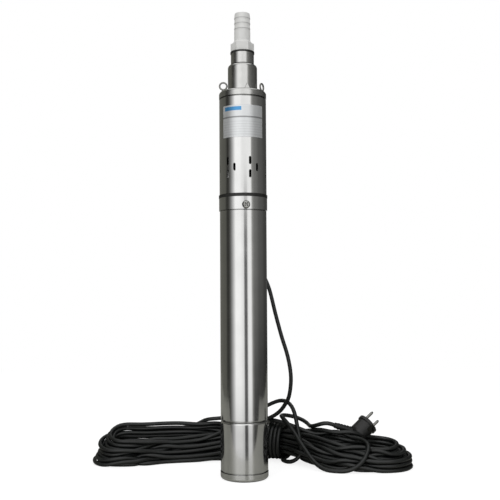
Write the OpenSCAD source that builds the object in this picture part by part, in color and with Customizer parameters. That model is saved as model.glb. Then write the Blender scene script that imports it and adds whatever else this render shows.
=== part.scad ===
// Borehole submersible pump with an eccentric screw, an oil-filled motor and a coiled power cable.
// Origin at the centre of the foot, +Z up along the shaft, the front towards -Y.

/* [Foot and capacitor can] */
// Outer diameter of the foot cap
foot_d = 76.1; // [74:0.1:80]
// Height of the foot cap's rim
foot_h = 11; // [9:0.5:16]
// Rounding of the foot's lower edge
foot_round = 4.5; // [2:0.5:6]
// Open groove between two shells
joint_gap = 2.4; // [1.5:0.1:4]
// Outer diameter of the capacitor can
can_d = 75.2; // [74:0.1:78]
// Length of the capacitor can
can_len = 77; // [70:1:110]
// Rounding of the can's upper edge
can_round = 3; // [2.2:0.1:3.6]
// Diameter of the run capacitor
capacitor_d = 45; // [35:1:55]
// Height of the run capacitor
capacitor_h = 48; // [30:1:50]

/* [Motor] */
// Outer diameter of the motor tube
motor_d = 75; // [74:0.1:78]
// Wall of the tubes
tube_wall = 1.5; // [1:0.1:2]
// Length of the motor tube
motor_len = 329; // [310:1:420]
// Length of the iron stack
stack_len = 170; // [120:1:190]
// Bore of the stator's iron
stack_bore_d = 38.8; // [36:0.2:42]
// Gap between the rotor and the stator
air_gap = 0.4; // [0.3:0.05:0.8]
// Number of winding slots
winding_slots = 24; // [18:6:24]
// Height of the winding's end turns
end_turn_h = 28; // [18:1:34]
// Diameter of the shaft under the rotor
shaft_d = 18; // [17:0.5:20]

/* [Ball bearings] */
// Bore of the bearings
bearing_bore_d = 15; // [14:0.5:16]
// Outer diameter of the bearings
bearing_d = 35; // [34:0.5:37]
// Width of the bearings
bearing_w = 11; // [10:0.5:13]
// Diameter of the balls
ball_d = 6; // [5:0.1:6.4]
// Number of balls
ball_count = 8; // [6:1:9]

/* [Motor flange] */
// Outer diameter of the flange's band
band_d = 77.4; // [76:0.1:82]
// Height of the flange's band
band_h = 21.3; // [20:0.1:26]
// Outer diameter of the rubber ring
ring_d = 78.2; // [77:0.1:83]
// Height of the rubber ring
ring_h = 4.7; // [3:0.1:7]
// Diameter of the oil filler screw's head
screw_head_d = 11.4; // [9:0.1:13]
// Thread diameter of the oil filler screw
screw_thread_d = 6; // [4:0.5:7]
// Where the oil filler screw sits, in degrees right of the front
screw_turn = 7; // [-20:1:20]

/* [Pump casing] */
// Outer diameter of the casing
casing_d = 75.8; // [75:0.1:79]
// Length of the casing
casing_len = 155; // [150:1:200]
// Wall of the casing
casing_wall = 1.2; // [1:0.1:2]
// Width of an intake slot
slot_w = 4; // [2.5:0.1:5]
// Height of an intake slot
slot_h = 12.8; // [9:0.1:16]
// Number of slot groups round the casing
slot_groups = 6; // [4:1:6]
// Turn from one slot group to the next
group_turn = 56.5; // [50:0.5:59]
// Length of the bare plate on the casing, round its curve
plate_w = 71; // [40:1:100]
// Height of the bare plate
plate_h = 51; // [30:1:60]
// Thickness of the bare plate
plate_t = 0.3; // [0.2:0.05:0.6]

/* [Screw pump] */
// Diameter of the screw's round section
screw_d = 18; // [15:0.5:19]
// Eccentricity of the screw
screw_ecc = 2.5; // [1.5:0.1:3]
// Pitch of the screw
screw_pitch = 30; // [24:1:40]
// Length of the rubber stator
stator_len = 82; // [60:1:86]
// Clearance between the screw and the rubber
screw_gap = 0.35; // [0.3:0.05:0.6]
// Outer diameter of the stator's steel sleeve
sleeve_d = 54; // [50:0.5:58]
// Diameter of the flexible shaft
flex_d = 8; // [6:0.5:9]

/* [Discharge head] */
// Outer diameter of the head's flange
head_d = 76.5; // [75:0.1:80]
// Height of the head's flange
head_flange_h = 11; // [10:0.5:16]
// Rounding of the flange's upper edge
head_round = 4.5; // [1:0.5:5]
// Diameter of the lower neck
neck_d = 47.5; // [44:0.5:48]
// Height of the lower neck
neck_h = 45; // [36:1:60]
// Rounding of the neck's shoulder
neck_round = 6; // [3:0.5:8]
// Diameter of the upper neck
outlet_d = 37.5; // [36:0.1:40]
// Height of the upper neck
outlet_h = 18.7; // [14:0.1:26]
// Outer diameter of the lifting eyes
eye_d = 14.4; // [12:0.1:14.6]
// Wire diameter of the lifting eyes
eye_wire = 2.8; // [2:0.1:3.2]
// Width of the cast flow arrow
arrow_w = 10; // [6:0.5:14]

/* [Hose barb] */
// Outer diameter of the gasket
gasket_d = 39.2; // [39:0.1:44]
// Thickness of the gasket
gasket_h = 2.5; // [2:0.1:5]
// Diameter of the outlet thread
thread_d = 33.2; // [30:0.1:34]
// Width of the hexagon across its flats
hex_w = 33; // [30:0.5:36]
// Height of the hexagon
hex_h = 14; // [10:0.5:18]
// Diameter of the hose tail
hose_d = 26.2; // [24:0.1:27]
// Length of the hose tail's plain part
hose_plain = 16.4; // [12:0.1:24]
// Height of one barb
barb_h = 8.7; // [6:0.1:11]
// Water passage through the barb
barb_bore_d = 19; // [14:0.5:20]

/* [Power cable and plug] */
// Diameter of the cable
cable_d = 7; // [6:0.5:8]
// Diameter of the plug's front
plug_d = 36; // [34:0.5:42]
// Length of the plug's body
plug_len = 33; // [32:1:45]
// Diameter of the plug's pins
pin_d = 4.8; // [4:0.1:5]
// Free length of the plug's pins
pin_len = 19; // [17:0.5:20]
// Distance between the plug's pins
pin_gap = 19; // [18:0.5:20]

/* [Hidden] */
$fn = 64;

// Clearances: a seated fit, a running fit and a seal face
fit = 0.05;
run = 0.05;
face_gap = 0.05;
eps = 0.01;
// Room round a cable, and between pieces that must not rub
cable_gap = 0.3;
soft_gap = 0.3;
// Rounding of a tube's cut edges
tube_edge = 0.6;

// Inner radii of the shells
tube_ri = motor_d / 2 - tube_wall;
casing_ri = casing_d / 2 - casing_wall;

// Heights of the shells, each standing on the one below
can_z = foot_h + joint_gap;
can_top = can_z + can_len;
motor_z = can_top + joint_gap;
band_z = motor_z + motor_len;
band_top = band_z + band_h;
casing_z = band_top + ring_h;
head_z = casing_z + casing_len;

// Spigots that carry the shells, and the O-rings in them
spigot_h = 14;
o_ring_d = 3;
o_ring_groove = 2.4;
o_ring_room = 1.1;
spigot_r = tube_ri - fit;

// Foot cap: floor and the cup that holds the capacitor
foot_floor = 6;
cup_wall = 2.5;
cup_h = 10;
terminal_w = 6;
terminal_t = 0.8;
terminal_h = 9;

// Bearings
race_gap = 0.05;
pitch_r = (bearing_bore_d + bearing_d) / 4;
ring_lip = 0.34;
pocket_wall = 5;
cage_side = 1.2;
cage_gap = 0.4;
bearing_rise = 2;
shaft_room = 2;
roll_groove_r = can_d / 2 - can_round - soft_gap;
lower_bearing_z = motor_z + bearing_rise;
upper_bearing_z = band_z;
bracket_floor = 6;

// Stator and rotor: the stack sits midway between the bearings
stack_mid = (lower_bearing_z + bearing_w + upper_bearing_z) / 2;
stack_z = stack_mid - stack_len / 2;
rotor_r = stack_bore_d / 2 - air_gap;
winding_slot_w = 3.4;
winding_slot_depth = 9;
slot_mouth_w = 1.8;
slot_mouth_depth = 1.4;
wire_gap = 0.2;
end_ring_h = 8;
end_ring_t = 6;
end_ring_inset = 1;
vane_count = 8;
vane_h = 6;
vane_t = 2;

// Motor flange: floor above the bearing, seal chamber and the rim that carries the casing
seal_len = 12;
seat_h = 5;
shaft_seal_d = 14;
shaft_end_d = 12;
flange_floor = upper_bearing_z + bearing_w + seal_len + seat_h;
chamber_r = 13;
seat_r = 12;
rim_wall = 3.2;
band_groove_h = 1.2;
band_groove_depth = 0.9;
rim_top = casing_z + spigot_h;

// Oil filler screw: pan head with a cross recess, on a soft washer
filler_up = 8;
filler_z = band_z + filler_up;
screw_seat = band_d / 2 - 1;
washer_t = 0.8;
screw_head_h = 3.2;
screw_head_chamfer = 1.2;
screw_head_room = 0.6;
screw_shank = 12;
recess_w = 1.9;
recess_len = 6.8;
recess_depth = 2.4;

// Rotating half of the shaft seal
seal_face_h = 4;
seal_foot_h = 3;
bellows_t = 1.4;
spring_wire = 1.2;
spring_r = 9.6;
spring_turns = 3;
spring_steps = 16;

// Shaft end and coupling
slinger_h = 3;
slinger_r = 14;
slinger_hub_r = 9.3;
slinger_gap = 0.4;
coupling_gap = 2;
coupling_z = flange_floor + slinger_h + coupling_gap;
coupling_wall = 4;
shaft_grip = 14;
flex_grip = 12;
coupling_web = 3;
shaft_top = coupling_z + shaft_grip;
coupling_top = shaft_top + coupling_web + flex_grip;
coupling_r = shaft_end_d / 2 + coupling_wall;
pin_r = 2;

// Screw, its stator and the S-bend of the flexible shaft
socket_wall = 3.5;
socket_len = 14;
stator_seat_h = 9;
screw_below = 8;
screw_above = 2;
socket_lap = 2;
socket_floor = 2.5;
stator_seat = head_z + stator_seat_h;
stator_z = stator_seat - stator_len;
screw_z = stator_z - screw_below;
screw_end = stator_seat + screw_above;
socket_z = screw_z - socket_len + socket_lap;
bend_h = socket_z - coupling_top;
bend_turn = 2 * atan(screw_ecc / bend_h);
bend_r = bend_h / (2 * sin(bend_turn));
flex_waist = 0.6;
flex_lap = 1;
flex_sleeve = 5;
flex_end_gap = 0.3;
socket_depth = socket_len - socket_floor;
sleeve_wall = 2;
facet_step = 15;

// Intake slots: pairs one above the other, with a single slot between the pairs
slot_up = 41.6;
slot_cut = 4;
slot_z = casing_z + slot_up;
slot_rise = 10.5;
first_group = -95.6;
single_turn = 18.3;

// Bare plate
plate_up = 89;
plate_z = casing_z + plate_up;

// Discharge head
head_groove_h = 2;
head_groove_depth = 2;
head_groove_r = casing_d / 2 - head_groove_depth;
flange_z = head_z + head_groove_h;
flange_top = flange_z + head_flange_h;
neck_top = flange_top + neck_h;
outlet_top = neck_top + outlet_h;
neck_wall = 3.5;
neck_fillet = 2;
line_w = 0.9;
line_depth = 1.2;
thread_len = 20;
thread_wall = 2;
passage_rise = 6;
passage_taper = 4;
eye_gap = 0.35;
eye_rise = 11;
eye_x = neck_d / 2 + eye_gap + eye_d / 2;
right_eye_rise = 9;
eye_shank_r = 2.5;
eye_collar_r = 4;
eye_collar_h = 2;
eye_shank_depth = 10;
eye_land = 0.1;
right_eye_turn = 62;
arrow_h = 10.5;
arrow_t = 1.5;
arrow_turn = 17.9;

// Hose barb
hex_z = outlet_top + gasket_h;
hex_taper = 4.6;
hose_z = hex_z + hex_h + hex_taper;
barb_z = hose_z + hose_plain;
barb_count = 3;
barb_valley = 0.6;
barb_land = 0.6;
barb_start = 3;
tip_h = 2.5;
tip_cut = 0.9;

// Cable gland at the back of the flange
gland_z = band_z + band_h / 2;
gland_stub_r = 6;
gland_stub = 9;
gland_flat_depth = 1.4;
gland_seat = band_d / 2 - gland_flat_depth;
gland_flat_w = 16;
gland_hex = 7;
gland_neck_r = 7;
gland_neck = 6;
gland_nut_w = 17;
gland_nut_len = 12;
gland_nut_hex = 9;
gland_nut_edge = 1;
gland_nut_step = 1.5;
sleeve_len = 30;
sleeve_big_r = 6;
sleeve_end_wall = 1.2;
grip_rings = 5;
grip_h = 0.5;
grip_share = 0.45;
grip_start = 0.4;
gland_nut_y = gland_seat + gland_hex + gland_neck;
sleeve_y = gland_nut_y + gland_nut_len;
cable_y = sleeve_y + sleeve_len;

// Hanging stretch of the cable, from the gland's sleeve to the hank
hang_route = [[2, 112, 432], [5, 128, 424], [9, 138, 409], [14, 142, 388], [20, 140, 364],
    [28, 133, 338], [38, 124, 316], [46, 116, 294], [55, 107, 255], [65, 98, 216], [74, 93, 186], [79, 91, 160],
    [80, 92, 137], [76, 99, 110], [66, 111, 93], [55, 121, 80], [43, 130, 71], [28, 136, 66], [10, 140, 63.8]];
cable_start = [0, cable_y, gland_z];
hang = concat([cable_start], hang_route);
cable_sides = 10;

// Stretch between the plug's sleeve and the hank, straight where it leaves the sleeve
lead_straight = 10;
lead_route = [[130, 93, 71], [112, 102, 75], [97, 112, 79], [84, 118, 81], [74, 117, 79], [69, 109, 74],
    [73, 100, 66], [82, 95, 61.8]];

// Hank of coiled cable on the floor behind the pump: three long ovals that meet, each with its height
hank_left_at = [-97, 127];
hank_left_turn = 5;
hank_left_len = 324;
hank_left_w = 66;
hank_left_h = 60;
hank_waist_at = [85, 118];
hank_waist_turn = -30;
hank_waist_len = 130;
hank_waist_w = 70;
hank_waist_h = 58;
hank_right_at = [188, 72];
hank_right_turn = -6;
hank_right_len = 190;
hank_right_w = 92;
hank_right_h = 36.5;

// Plug on the hank's right end: its front, and the way its pins and its cable sleeve point
plug_at = [213, 102, 65.7];
plug_turn = -65;
plug_tilt = 36;
plug_roll = 90;
plug_rim = 5;
plug_rim_step = 2;
plug_body_d = plug_d - 2 * plug_rim_step;
plug_round = 9;
plug_pin_root = 12;
pin_root_step = 0.4;
pin_root_d = pin_d - 2 * pin_root_step;
plug_sleeve_len = 31;
plug_sleeve_r = 6;
plug_sleeve_seat = 3;
plug_sleeve_turn = 95;
plug_sleeve_tilt = 18;
plug_groove_w = 6;
plug_groove_depth = 2.4;
plug_groove_len = 14;
earth_clip_t = 1;
earth_hole_r = 2.6;
earth_clip_gap = 0.5;

// Direction of an axis turned about Z from +Y and tilted up
function along(turn, tilt) = [-sin(turn) * cos(tilt), cos(turn) * cos(tilt), sin(tilt)];

// The cable leaves the plug's round back at an angle
plug_back = plug_at - (plug_len - plug_round) * along(plug_turn, plug_tilt);
sleeve_way = along(plug_sleeve_turn, plug_sleeve_tilt);
sleeve_root = plug_back + (plug_body_d / 2 - plug_sleeve_seat) * sleeve_way;
sleeve_end = sleeve_root + plug_sleeve_len * sleeve_way;
lead = concat([sleeve_end, sleeve_end + lead_straight * sleeve_way], lead_route);

// A closed ring of rectangular section
module tube(r, ri, h) {
    difference() {
        cylinder(r = r, h = h);
        translate([0, 0, -eps]) cylinder(r = ri, h = h + 2 * eps);
    }
}

// A ring of round section
module torus(r, wire_r) {
    rotate_extrude() translate([r, 0]) circle(wire_r);
}

// Quarter of a square left outside a fillet, to round an outer edge
module edge_cut(r, edge_r) {
    rotate_extrude() translate([r - edge_r, 0]) difference() {
        square(edge_r + 1);
        circle(edge_r);
    }
}

// A hexagonal prism measured across its flats
module hexagon(w, h) {
    cylinder(d = w / cos(30), h = h, $fn = 6);
}

// Unit vectors for a tube swept along points
function unit(v) = v / norm(v);
function tangent(p, i) = unit(p[min(i + 1, len(p) - 1)] - p[max(i - 1, 0)]);
function flat(v, t) = unit(v - (v * t) * t);
function carried(p, i) = i == 0 ? flat([1, 0, 0], tangent(p, 0)) : flat(carried(p, i - 1), tangent(p, i));

// A round tube through a list of points
module swept(p, r, sides) {
    n = len(p);
    rings = [for (i = [0:n - 1])
        let (t = tangent(p, i), a = carried(p, i), b = cross(t, a))
        for (k = [0:sides - 1]) p[i] + r * (cos(360 * k / sides) * a + sin(360 * k / sides) * b)];
    sides_faces = [for (i = [0:n - 2]) for (k = [0:sides - 1])
        [i * sides + k, (i + 1) * sides + k, (i + 1) * sides + (k + 1) % sides, i * sides + (k + 1) % sides]];
    start_face = [for (k = [0:sides - 1]) k];
    end_face = [for (k = [sides - 1:-1:0]) (n - 1) * sides + k];
    polyhedron(points = rings, faces = concat(sides_faces, [start_face, end_face]));
}

// Foot and capacitor can

module foot_cap() {
    color("silver") difference() {
        union() {
            cylinder(d = foot_d, h = foot_h);
            cylinder(r = can_d / 2 - tube_wall - fit, h = can_z + spigot_h);
        }
        translate([0, 0, foot_round]) mirror([0, 0, 1]) edge_cut(foot_d / 2, foot_round);
        translate([0, 0, foot_floor + cup_h]) cylinder(r = can_d / 2 - tube_wall - cup_wall, h = can_z + spigot_h);
        translate([0, 0, foot_floor]) cylinder(d = capacitor_d + 2 * fit, h = cup_h + 1);
        translate([0, 0, can_z + spigot_h / 2]) o_ring_cut(can_d / 2 - tube_wall);
    }
}

// Square groove for an O-ring below an outer radius
module o_ring_cut(r) {
    w = o_ring_d * o_ring_room;
    translate([0, 0, -w / 2]) tube(r + 1, r - o_ring_groove, w);
}

// An O-ring that stands just clear of its groove and of the shell around it
module o_ring_in(r) {
    torus(r - o_ring_groove / 2, o_ring_groove / 2 - fit);
}

module foot_o_ring() {
    color("black") translate([0, 0, can_z + spigot_h / 2]) o_ring_in(can_d / 2 - tube_wall);
}

// The can's upper end is rolled inwards, into the groove of the bracket
module capacitor_can() {
    lip = can_d / 2 - can_round;
    color("silver") {
        translate([0, 0, can_z]) tube(can_d / 2, can_d / 2 - tube_wall, can_len - can_round);
        translate([0, 0, can_top - can_round]) rotate_extrude() translate([lip, 0]) intersection() {
            square(can_round);
            difference() {
                circle(can_round);
                circle(can_round - tube_wall);
            }
        }
    }
}

module capacitor() {
    terminal_x = capacitor_d / 4;
    color("lightgray") {
        translate([0, 0, foot_floor]) cylinder(d = capacitor_d, h = capacitor_h);
        for (x = [-terminal_x, terminal_x])
            translate([x - terminal_w / 2, -terminal_t / 2, foot_floor + capacitor_h - eps])
                cube([terminal_w, terminal_t, terminal_h]);
    }
}

// Motor

module lower_bracket() {
    color("gainsboro") difference() {
        translate([0, 0, can_top - spigot_h]) cylinder(r = spigot_r, h = joint_gap + 2 * spigot_h);
        translate([0, 0, lower_bearing_z]) cylinder(r = bearing_d / 2 + fit, h = 2 * spigot_h + bearing_w);
        translate([0, 0, lower_bearing_z - bracket_floor])
            cylinder(d = bearing_bore_d + 2 * shaft_room, h = bracket_floor + 1);
        for (z = [can_top - spigot_h / 2, motor_z + spigot_h / 2]) translate([0, 0, z]) o_ring_cut(spigot_r);
        translate([0, 0, can_top - can_round]) tube(spigot_r + 1, roll_groove_r, can_round + joint_gap);
    }
}

module bracket_o_rings() {
    color("black")
        for (z = [can_top - spigot_h / 2, motor_z + spigot_h / 2]) translate([0, 0, z]) o_ring_in(spigot_r);
}

// A tube whose outer cut edges are rounded
module edged_tube(r, ri, z, h) {
    difference() {
        translate([0, 0, z]) tube(r, ri, h);
        translate([0, 0, z + tube_edge]) mirror([0, 0, 1]) edge_cut(r, tube_edge);
        translate([0, 0, z + h - tube_edge]) edge_cut(r, tube_edge);
    }
}

module motor_tube() {
    color("silver") edged_tube(motor_d / 2, tube_ri, motor_z, motor_len);
}

// Winding slot seen along the shaft, with a gap all round
module slot_outline(gap) {
    r0 = stack_bore_d / 2 + slot_mouth_depth;
    translate([r0 + gap, -winding_slot_w / 2 + gap]) square([winding_slot_depth - 2 * gap, winding_slot_w - 2 * gap]);
}

module stator_core() {
    color("dimgray") translate([0, 0, stack_z]) linear_extrude(stack_len) difference() {
        circle(tube_ri - fit);
        circle(d = stack_bore_d);
        for (i = [0:winding_slots - 1]) rotate(i * 360 / winding_slots) {
            slot_outline(0);
            translate([stack_bore_d / 2 - 1, -slot_mouth_w / 2]) square([slot_mouth_depth + 2, slot_mouth_w]);
        }
    }
}

module stator_windings() {
    r0 = stack_bore_d / 2 + slot_mouth_depth + wire_gap;
    w = winding_slot_depth - 2 * wire_gap;
    color("peru") {
        translate([0, 0, stack_z - 1]) linear_extrude(stack_len + 2)
            for (i = [0:winding_slots - 1]) rotate(i * 360 / winding_slots) slot_outline(wire_gap);
        for (z = [stack_z - end_turn_h, stack_z + stack_len + wire_gap])
            translate([0, 0, z]) rotate_extrude() end_turn_outline(r0, w);
    }
}

// Section of one bundle of end turns, with round corners
module end_turn_outline(r0, w) {
    round_r = w / 3;
    h = end_turn_h - wire_gap;
    translate([r0 + round_r, 0]) square([w - 2 * round_r, h]);
    translate([r0, round_r]) square([w, h - 2 * round_r]);
    for (x = [r0 + round_r, r0 + w - round_r])
        for (y = [round_r, h - round_r]) translate([x, y]) circle(round_r);
}

module motor_shaft() {
    color("lightsteelblue") difference() {
        union() {
            translate([0, 0, lower_bearing_z]) cylinder(d = bearing_bore_d - 2 * fit, h = bearing_w + 1);
            translate([0, 0, lower_bearing_z + bearing_w])
                cylinder(d = shaft_d, h = upper_bearing_z - lower_bearing_z - bearing_w);
            translate([0, 0, upper_bearing_z - 1]) cylinder(d = bearing_bore_d - 2 * fit, h = bearing_w + 1);
            translate([0, 0, upper_bearing_z])
                cylinder(d = shaft_seal_d, h = flange_floor + slinger_h - upper_bearing_z);
            translate([0, 0, upper_bearing_z]) cylinder(d = shaft_end_d, h = shaft_top - upper_bearing_z);
        }
        coupling_pin_at(pin_r + fit);
    }
}

module rotor_core() {
    color("slategray") translate([0, 0, stack_z]) tube(rotor_r, shaft_d / 2 + fit, stack_len);
}

module rotor_end_rings() {
    ring_r = rotor_r - end_ring_inset;
    color("gainsboro") for (side = [0, 1])
        translate([0, 0, side == 0 ? stack_z : stack_z + stack_len]) mirror([0, 0, 1 - side]) {
            tube(ring_r, ring_r - end_ring_t, end_ring_h);
            for (i = [0:vane_count - 1]) rotate(i * 360 / vane_count)
                translate([ring_r - end_ring_t + 1, -vane_t / 2, end_ring_h - eps])
                    cube([end_ring_t - 2, vane_t, vane_h]);
        }
}

// Outline of a bearing ring between two radii with the ball's groove cut in it
module race(r, ri, z) {
    translate([0, 0, z]) rotate_extrude() difference() {
        translate([ri, 0]) square([r - ri, bearing_w]);
        translate([pitch_r, bearing_w / 2]) circle(ball_d / 2 + race_gap);
    }
}

module bearing_outer(z) {
    color("lightgray") race(bearing_d / 2, pitch_r + ball_d * ring_lip, z);
}

module bearing_inner(z) {
    color("lightgray") race(pitch_r - ball_d * ring_lip, bearing_bore_d / 2, z);
}

// Balls with the ring that keeps them apart
module bearing_balls(z) {
    cage_w = ball_d + 2 * cage_side;
    cage_t = ball_d * ring_lip - cage_gap;
    color("silver") translate([0, 0, z + bearing_w / 2]) {
        difference() {
            translate([0, 0, -cage_w / 2]) tube(pitch_r + cage_t, pitch_r - cage_t, cage_w);
            for (i = [0:ball_count - 1]) rotate(i * 360 / ball_count)
                rotate([0, 90, 0]) cylinder(d = ball_d + 2 * race_gap, h = bearing_d);
        }
        for (i = [0:ball_count - 1]) rotate(i * 360 / ball_count) translate([pitch_r, 0, 0]) sphere(ball_d / 2);
    }
}

module lower_bearing_outer() { bearing_outer(lower_bearing_z); }
module upper_bearing_outer() { bearing_outer(upper_bearing_z); }
module lower_bearing_inner() { bearing_inner(lower_bearing_z); }
module upper_bearing_inner() { bearing_inner(upper_bearing_z); }
module lower_bearing_balls() { bearing_balls(lower_bearing_z); }
module upper_bearing_balls() { bearing_balls(upper_bearing_z); }

// Motor flange

module motor_flange() {
    color("silver") difference() {
        union() {
            translate([0, 0, band_z - spigot_h]) cylinder(r = spigot_r, h = spigot_h + 1);
            translate([0, 0, band_z]) cylinder(d = band_d, h = band_h);
            translate([0, 0, band_z]) cylinder(r = casing_ri - fit, h = rim_top - band_z);
        }
        translate([0, 0, flange_floor]) cylinder(r = casing_ri - fit - rim_wall, h = rim_top);
        translate([0, 0, band_z - spigot_h - 1]) cylinder(r = bearing_d / 2 + pocket_wall, h = spigot_h - 2);
        translate([0, 0, band_z - spigot_h - 1]) cylinder(r = bearing_d / 2 + fit, h = spigot_h + 1 + bearing_w);
        translate([0, 0, band_z]) cylinder(r = chamber_r, h = bearing_w + seal_len);
        translate([0, 0, band_z]) cylinder(r = seat_r + fit, h = flange_floor);
        translate([0, 0, band_z - spigot_h / 2]) o_ring_cut(spigot_r);
        translate([0, 0, casing_z + spigot_h / 2]) o_ring_cut(casing_ri - fit);
        translate([0, 0, band_z]) tube(band_d / 2 + 1, motor_d / 2 - band_groove_depth, band_groove_h);
        at_filler() {
            translate([0, 0, chamber_r - 1]) cylinder(d = screw_thread_d + 2 * fit, h = band_d);
            translate([0, 0, screw_seat]) cylinder(d = screw_head_d + 2 * screw_head_room, h = band_d);
        }
        translate([0, gland_seat, gland_z]) rotate([-90, 0, 0]) cylinder(d = gland_flat_w / cos(30) + 1, h = band_d);
        translate([0, 0, gland_z]) rotate([-90, 0, 0])
            translate([0, 0, chamber_r - 1]) cylinder(r = gland_stub_r + fit, h = band_d);
    }
}

module flange_o_rings() {
    color("black") {
        translate([0, 0, band_z - spigot_h / 2]) o_ring_in(spigot_r);
        translate([0, 0, casing_z + spigot_h / 2]) o_ring_in(casing_ri - fit);
    }
}

// Turns to the oil filler's place on the band, looking out
module at_filler() {
    rotate(screw_turn) translate([0, 0, filler_z]) rotate([90, 0, 0]) children();
}

module oil_filler_screw() {
    color("silver") at_filler() translate([0, 0, screw_seat + washer_t]) difference() {
        union() {
            cylinder(d = screw_head_d, h = screw_head_h - screw_head_chamfer);
            translate([0, 0, screw_head_h - screw_head_chamfer - eps])
                cylinder(d1 = screw_head_d, d2 = screw_head_d - 2 * screw_head_chamfer, h = screw_head_chamfer);
            translate([0, 0, -screw_shank]) cylinder(d = screw_thread_d, h = screw_shank + 1);
        }
        for (a = [45, 135]) rotate(a) translate([-recess_len / 2, -recess_w / 2, screw_head_h - recess_depth])
            cube([recess_len, recess_w, recess_depth + 1]);
    }
}

module oil_filler_washer() {
    color("black") at_filler() translate([0, 0, screw_seat])
        tube(screw_head_d / 2 + screw_head_room - fit, screw_thread_d / 2 + fit, washer_t);
}

module seal_seat() {
    color("white") translate([0, 0, flange_floor - seat_h]) tube(seat_r, shaft_seal_d / 2 + soft_gap, seat_h);
}

// Rotating half of the shaft seal: a carbon face on a rubber bellows, pushed by a spring
module seal_head() {
    z0 = upper_bearing_z + bearing_w;
    z1 = flange_floor - seat_h - face_gap;
    color("dimgray") {
        translate([0, 0, z1 - seal_face_h]) tube(seat_r - 1, shaft_seal_d / 2 + fit, seal_face_h);
        translate([0, 0, z0]) tube(shaft_seal_d / 2 + bellows_t, shaft_seal_d / 2 + fit, z1 - z0 - seal_face_h / 2);
        translate([0, 0, z0]) tube(seat_r - 1, shaft_seal_d / 2 + fit, seal_foot_h);
    }
}

module seal_spring() {
    z0 = upper_bearing_z + bearing_w + seal_foot_h + spring_wire / 2 + fit;
    z1 = flange_floor - seat_h - face_gap - seal_face_h - spring_wire / 2 - fit;
    steps = spring_steps * spring_turns;
    color("silver") swept([for (i = [0:steps])
        let (a = 360 * i / spring_steps) [spring_r * cos(a), spring_r * sin(a), z0 + (z1 - z0) * i / steps]],
        spring_wire / 2, 6);
}

module sand_slinger() {
    color("black") translate([0, 0, flange_floor + slinger_gap]) {
        tube(slinger_r, shaft_seal_d / 2 + fit, slinger_h / 2);
        tube(slinger_hub_r, shaft_seal_d / 2 + fit, slinger_h - slinger_gap);
    }
}

// Cross pin that locks the coupling on the shaft
module coupling_pin_at(r) {
    translate([0, 0, coupling_z + shaft_grip / 2]) rotate([0, 90, 0])
        translate([0, 0, -coupling_r]) cylinder(r = r, h = 2 * coupling_r);
}

module shaft_coupling() {
    color("lightgray") difference() {
        translate([0, 0, coupling_z]) cylinder(r = coupling_r, h = coupling_top - coupling_z);
        translate([0, 0, coupling_z - 1]) cylinder(d = shaft_end_d + 2 * fit, h = shaft_grip + 1);
        translate([0, 0, coupling_top - flex_grip]) cylinder(r = flex_d / 2 + run, h = flex_grip + 1);
        coupling_pin_at(pin_r + fit);
    }
}

module coupling_pin() {
    color("silver") coupling_pin_at(pin_r);
}

// Pump

module casing_ring() {
    color("black") translate([0, 0, band_top]) tube(ring_d / 2, casing_ri, ring_h);
}

// One intake slot with round ends, cut through the wall at the front
module intake_slot(z) {
    depth = casing_wall + slot_cut + 1;
    straight = slot_h - slot_w;
    translate([0, 0, z]) rotate([90, 0, 0]) {
        translate([-slot_w / 2, -straight / 2, casing_ri - slot_cut]) cube([slot_w, straight, depth]);
        for (y = [-straight / 2, straight / 2])
            translate([0, y, casing_ri - slot_cut]) cylinder(d = slot_w, h = depth);
    }
}

module pump_casing() {
    color("silver") difference() {
        edged_tube(casing_d / 2, casing_ri, casing_z, casing_len);
        for (i = [0:slot_groups - 1]) rotate(first_group + i * group_turn) {
            intake_slot(slot_z - slot_rise);
            intake_slot(slot_z + slot_rise);
            rotate(single_turn) intake_slot(slot_z);
        }
    }
}

module bare_plate() {
    half_turn = plate_w / casing_d * 180 / PI;
    color("gainsboro") rotate(-90 - half_turn) translate([0, 0, plate_z])
        rotate_extrude(angle = 2 * half_turn) translate([casing_d / 2 + fit, 0]) square([plate_t, plate_h]);
}

module stator_sleeve() {
    color("gray") translate([0, 0, stator_z]) tube(sleeve_d / 2, sleeve_d / 2 - sleeve_wall, stator_len);
}

// Section of the rubber's cavity: a slot with round ends, its flats split so that they twist smoothly
module cavity_outline() {
    r = screw_d / 2 + screw_gap;
    half = 2 * screw_ecc;
    flats = 6;
    arcs = 10;
    polygon(concat(
        [for (i = [0:arcs]) let (a = -90 + 180 * i / arcs) [half + r * cos(a), r * sin(a)]],
        [for (i = [1:flats - 1]) [half - 2 * half * i / flats, r]],
        [for (i = [0:arcs]) let (a = 90 + 180 * i / arcs) [-half + r * cos(a), r * sin(a)]],
        [for (i = [1:flats - 1]) [-half + 2 * half * i / flats, -r]]));
}

module stator_rubber() {
    turn = 180 * stator_len / screw_pitch;
    color("black") translate([0, 0, stator_z]) difference() {
        cylinder(r = sleeve_d / 2 - sleeve_wall - fit, h = stator_len);
        linear_extrude(stator_len, twist = -turn, slices = ceil(2 * turn / facet_step), $fn = 24) cavity_outline();
    }
}

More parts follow.
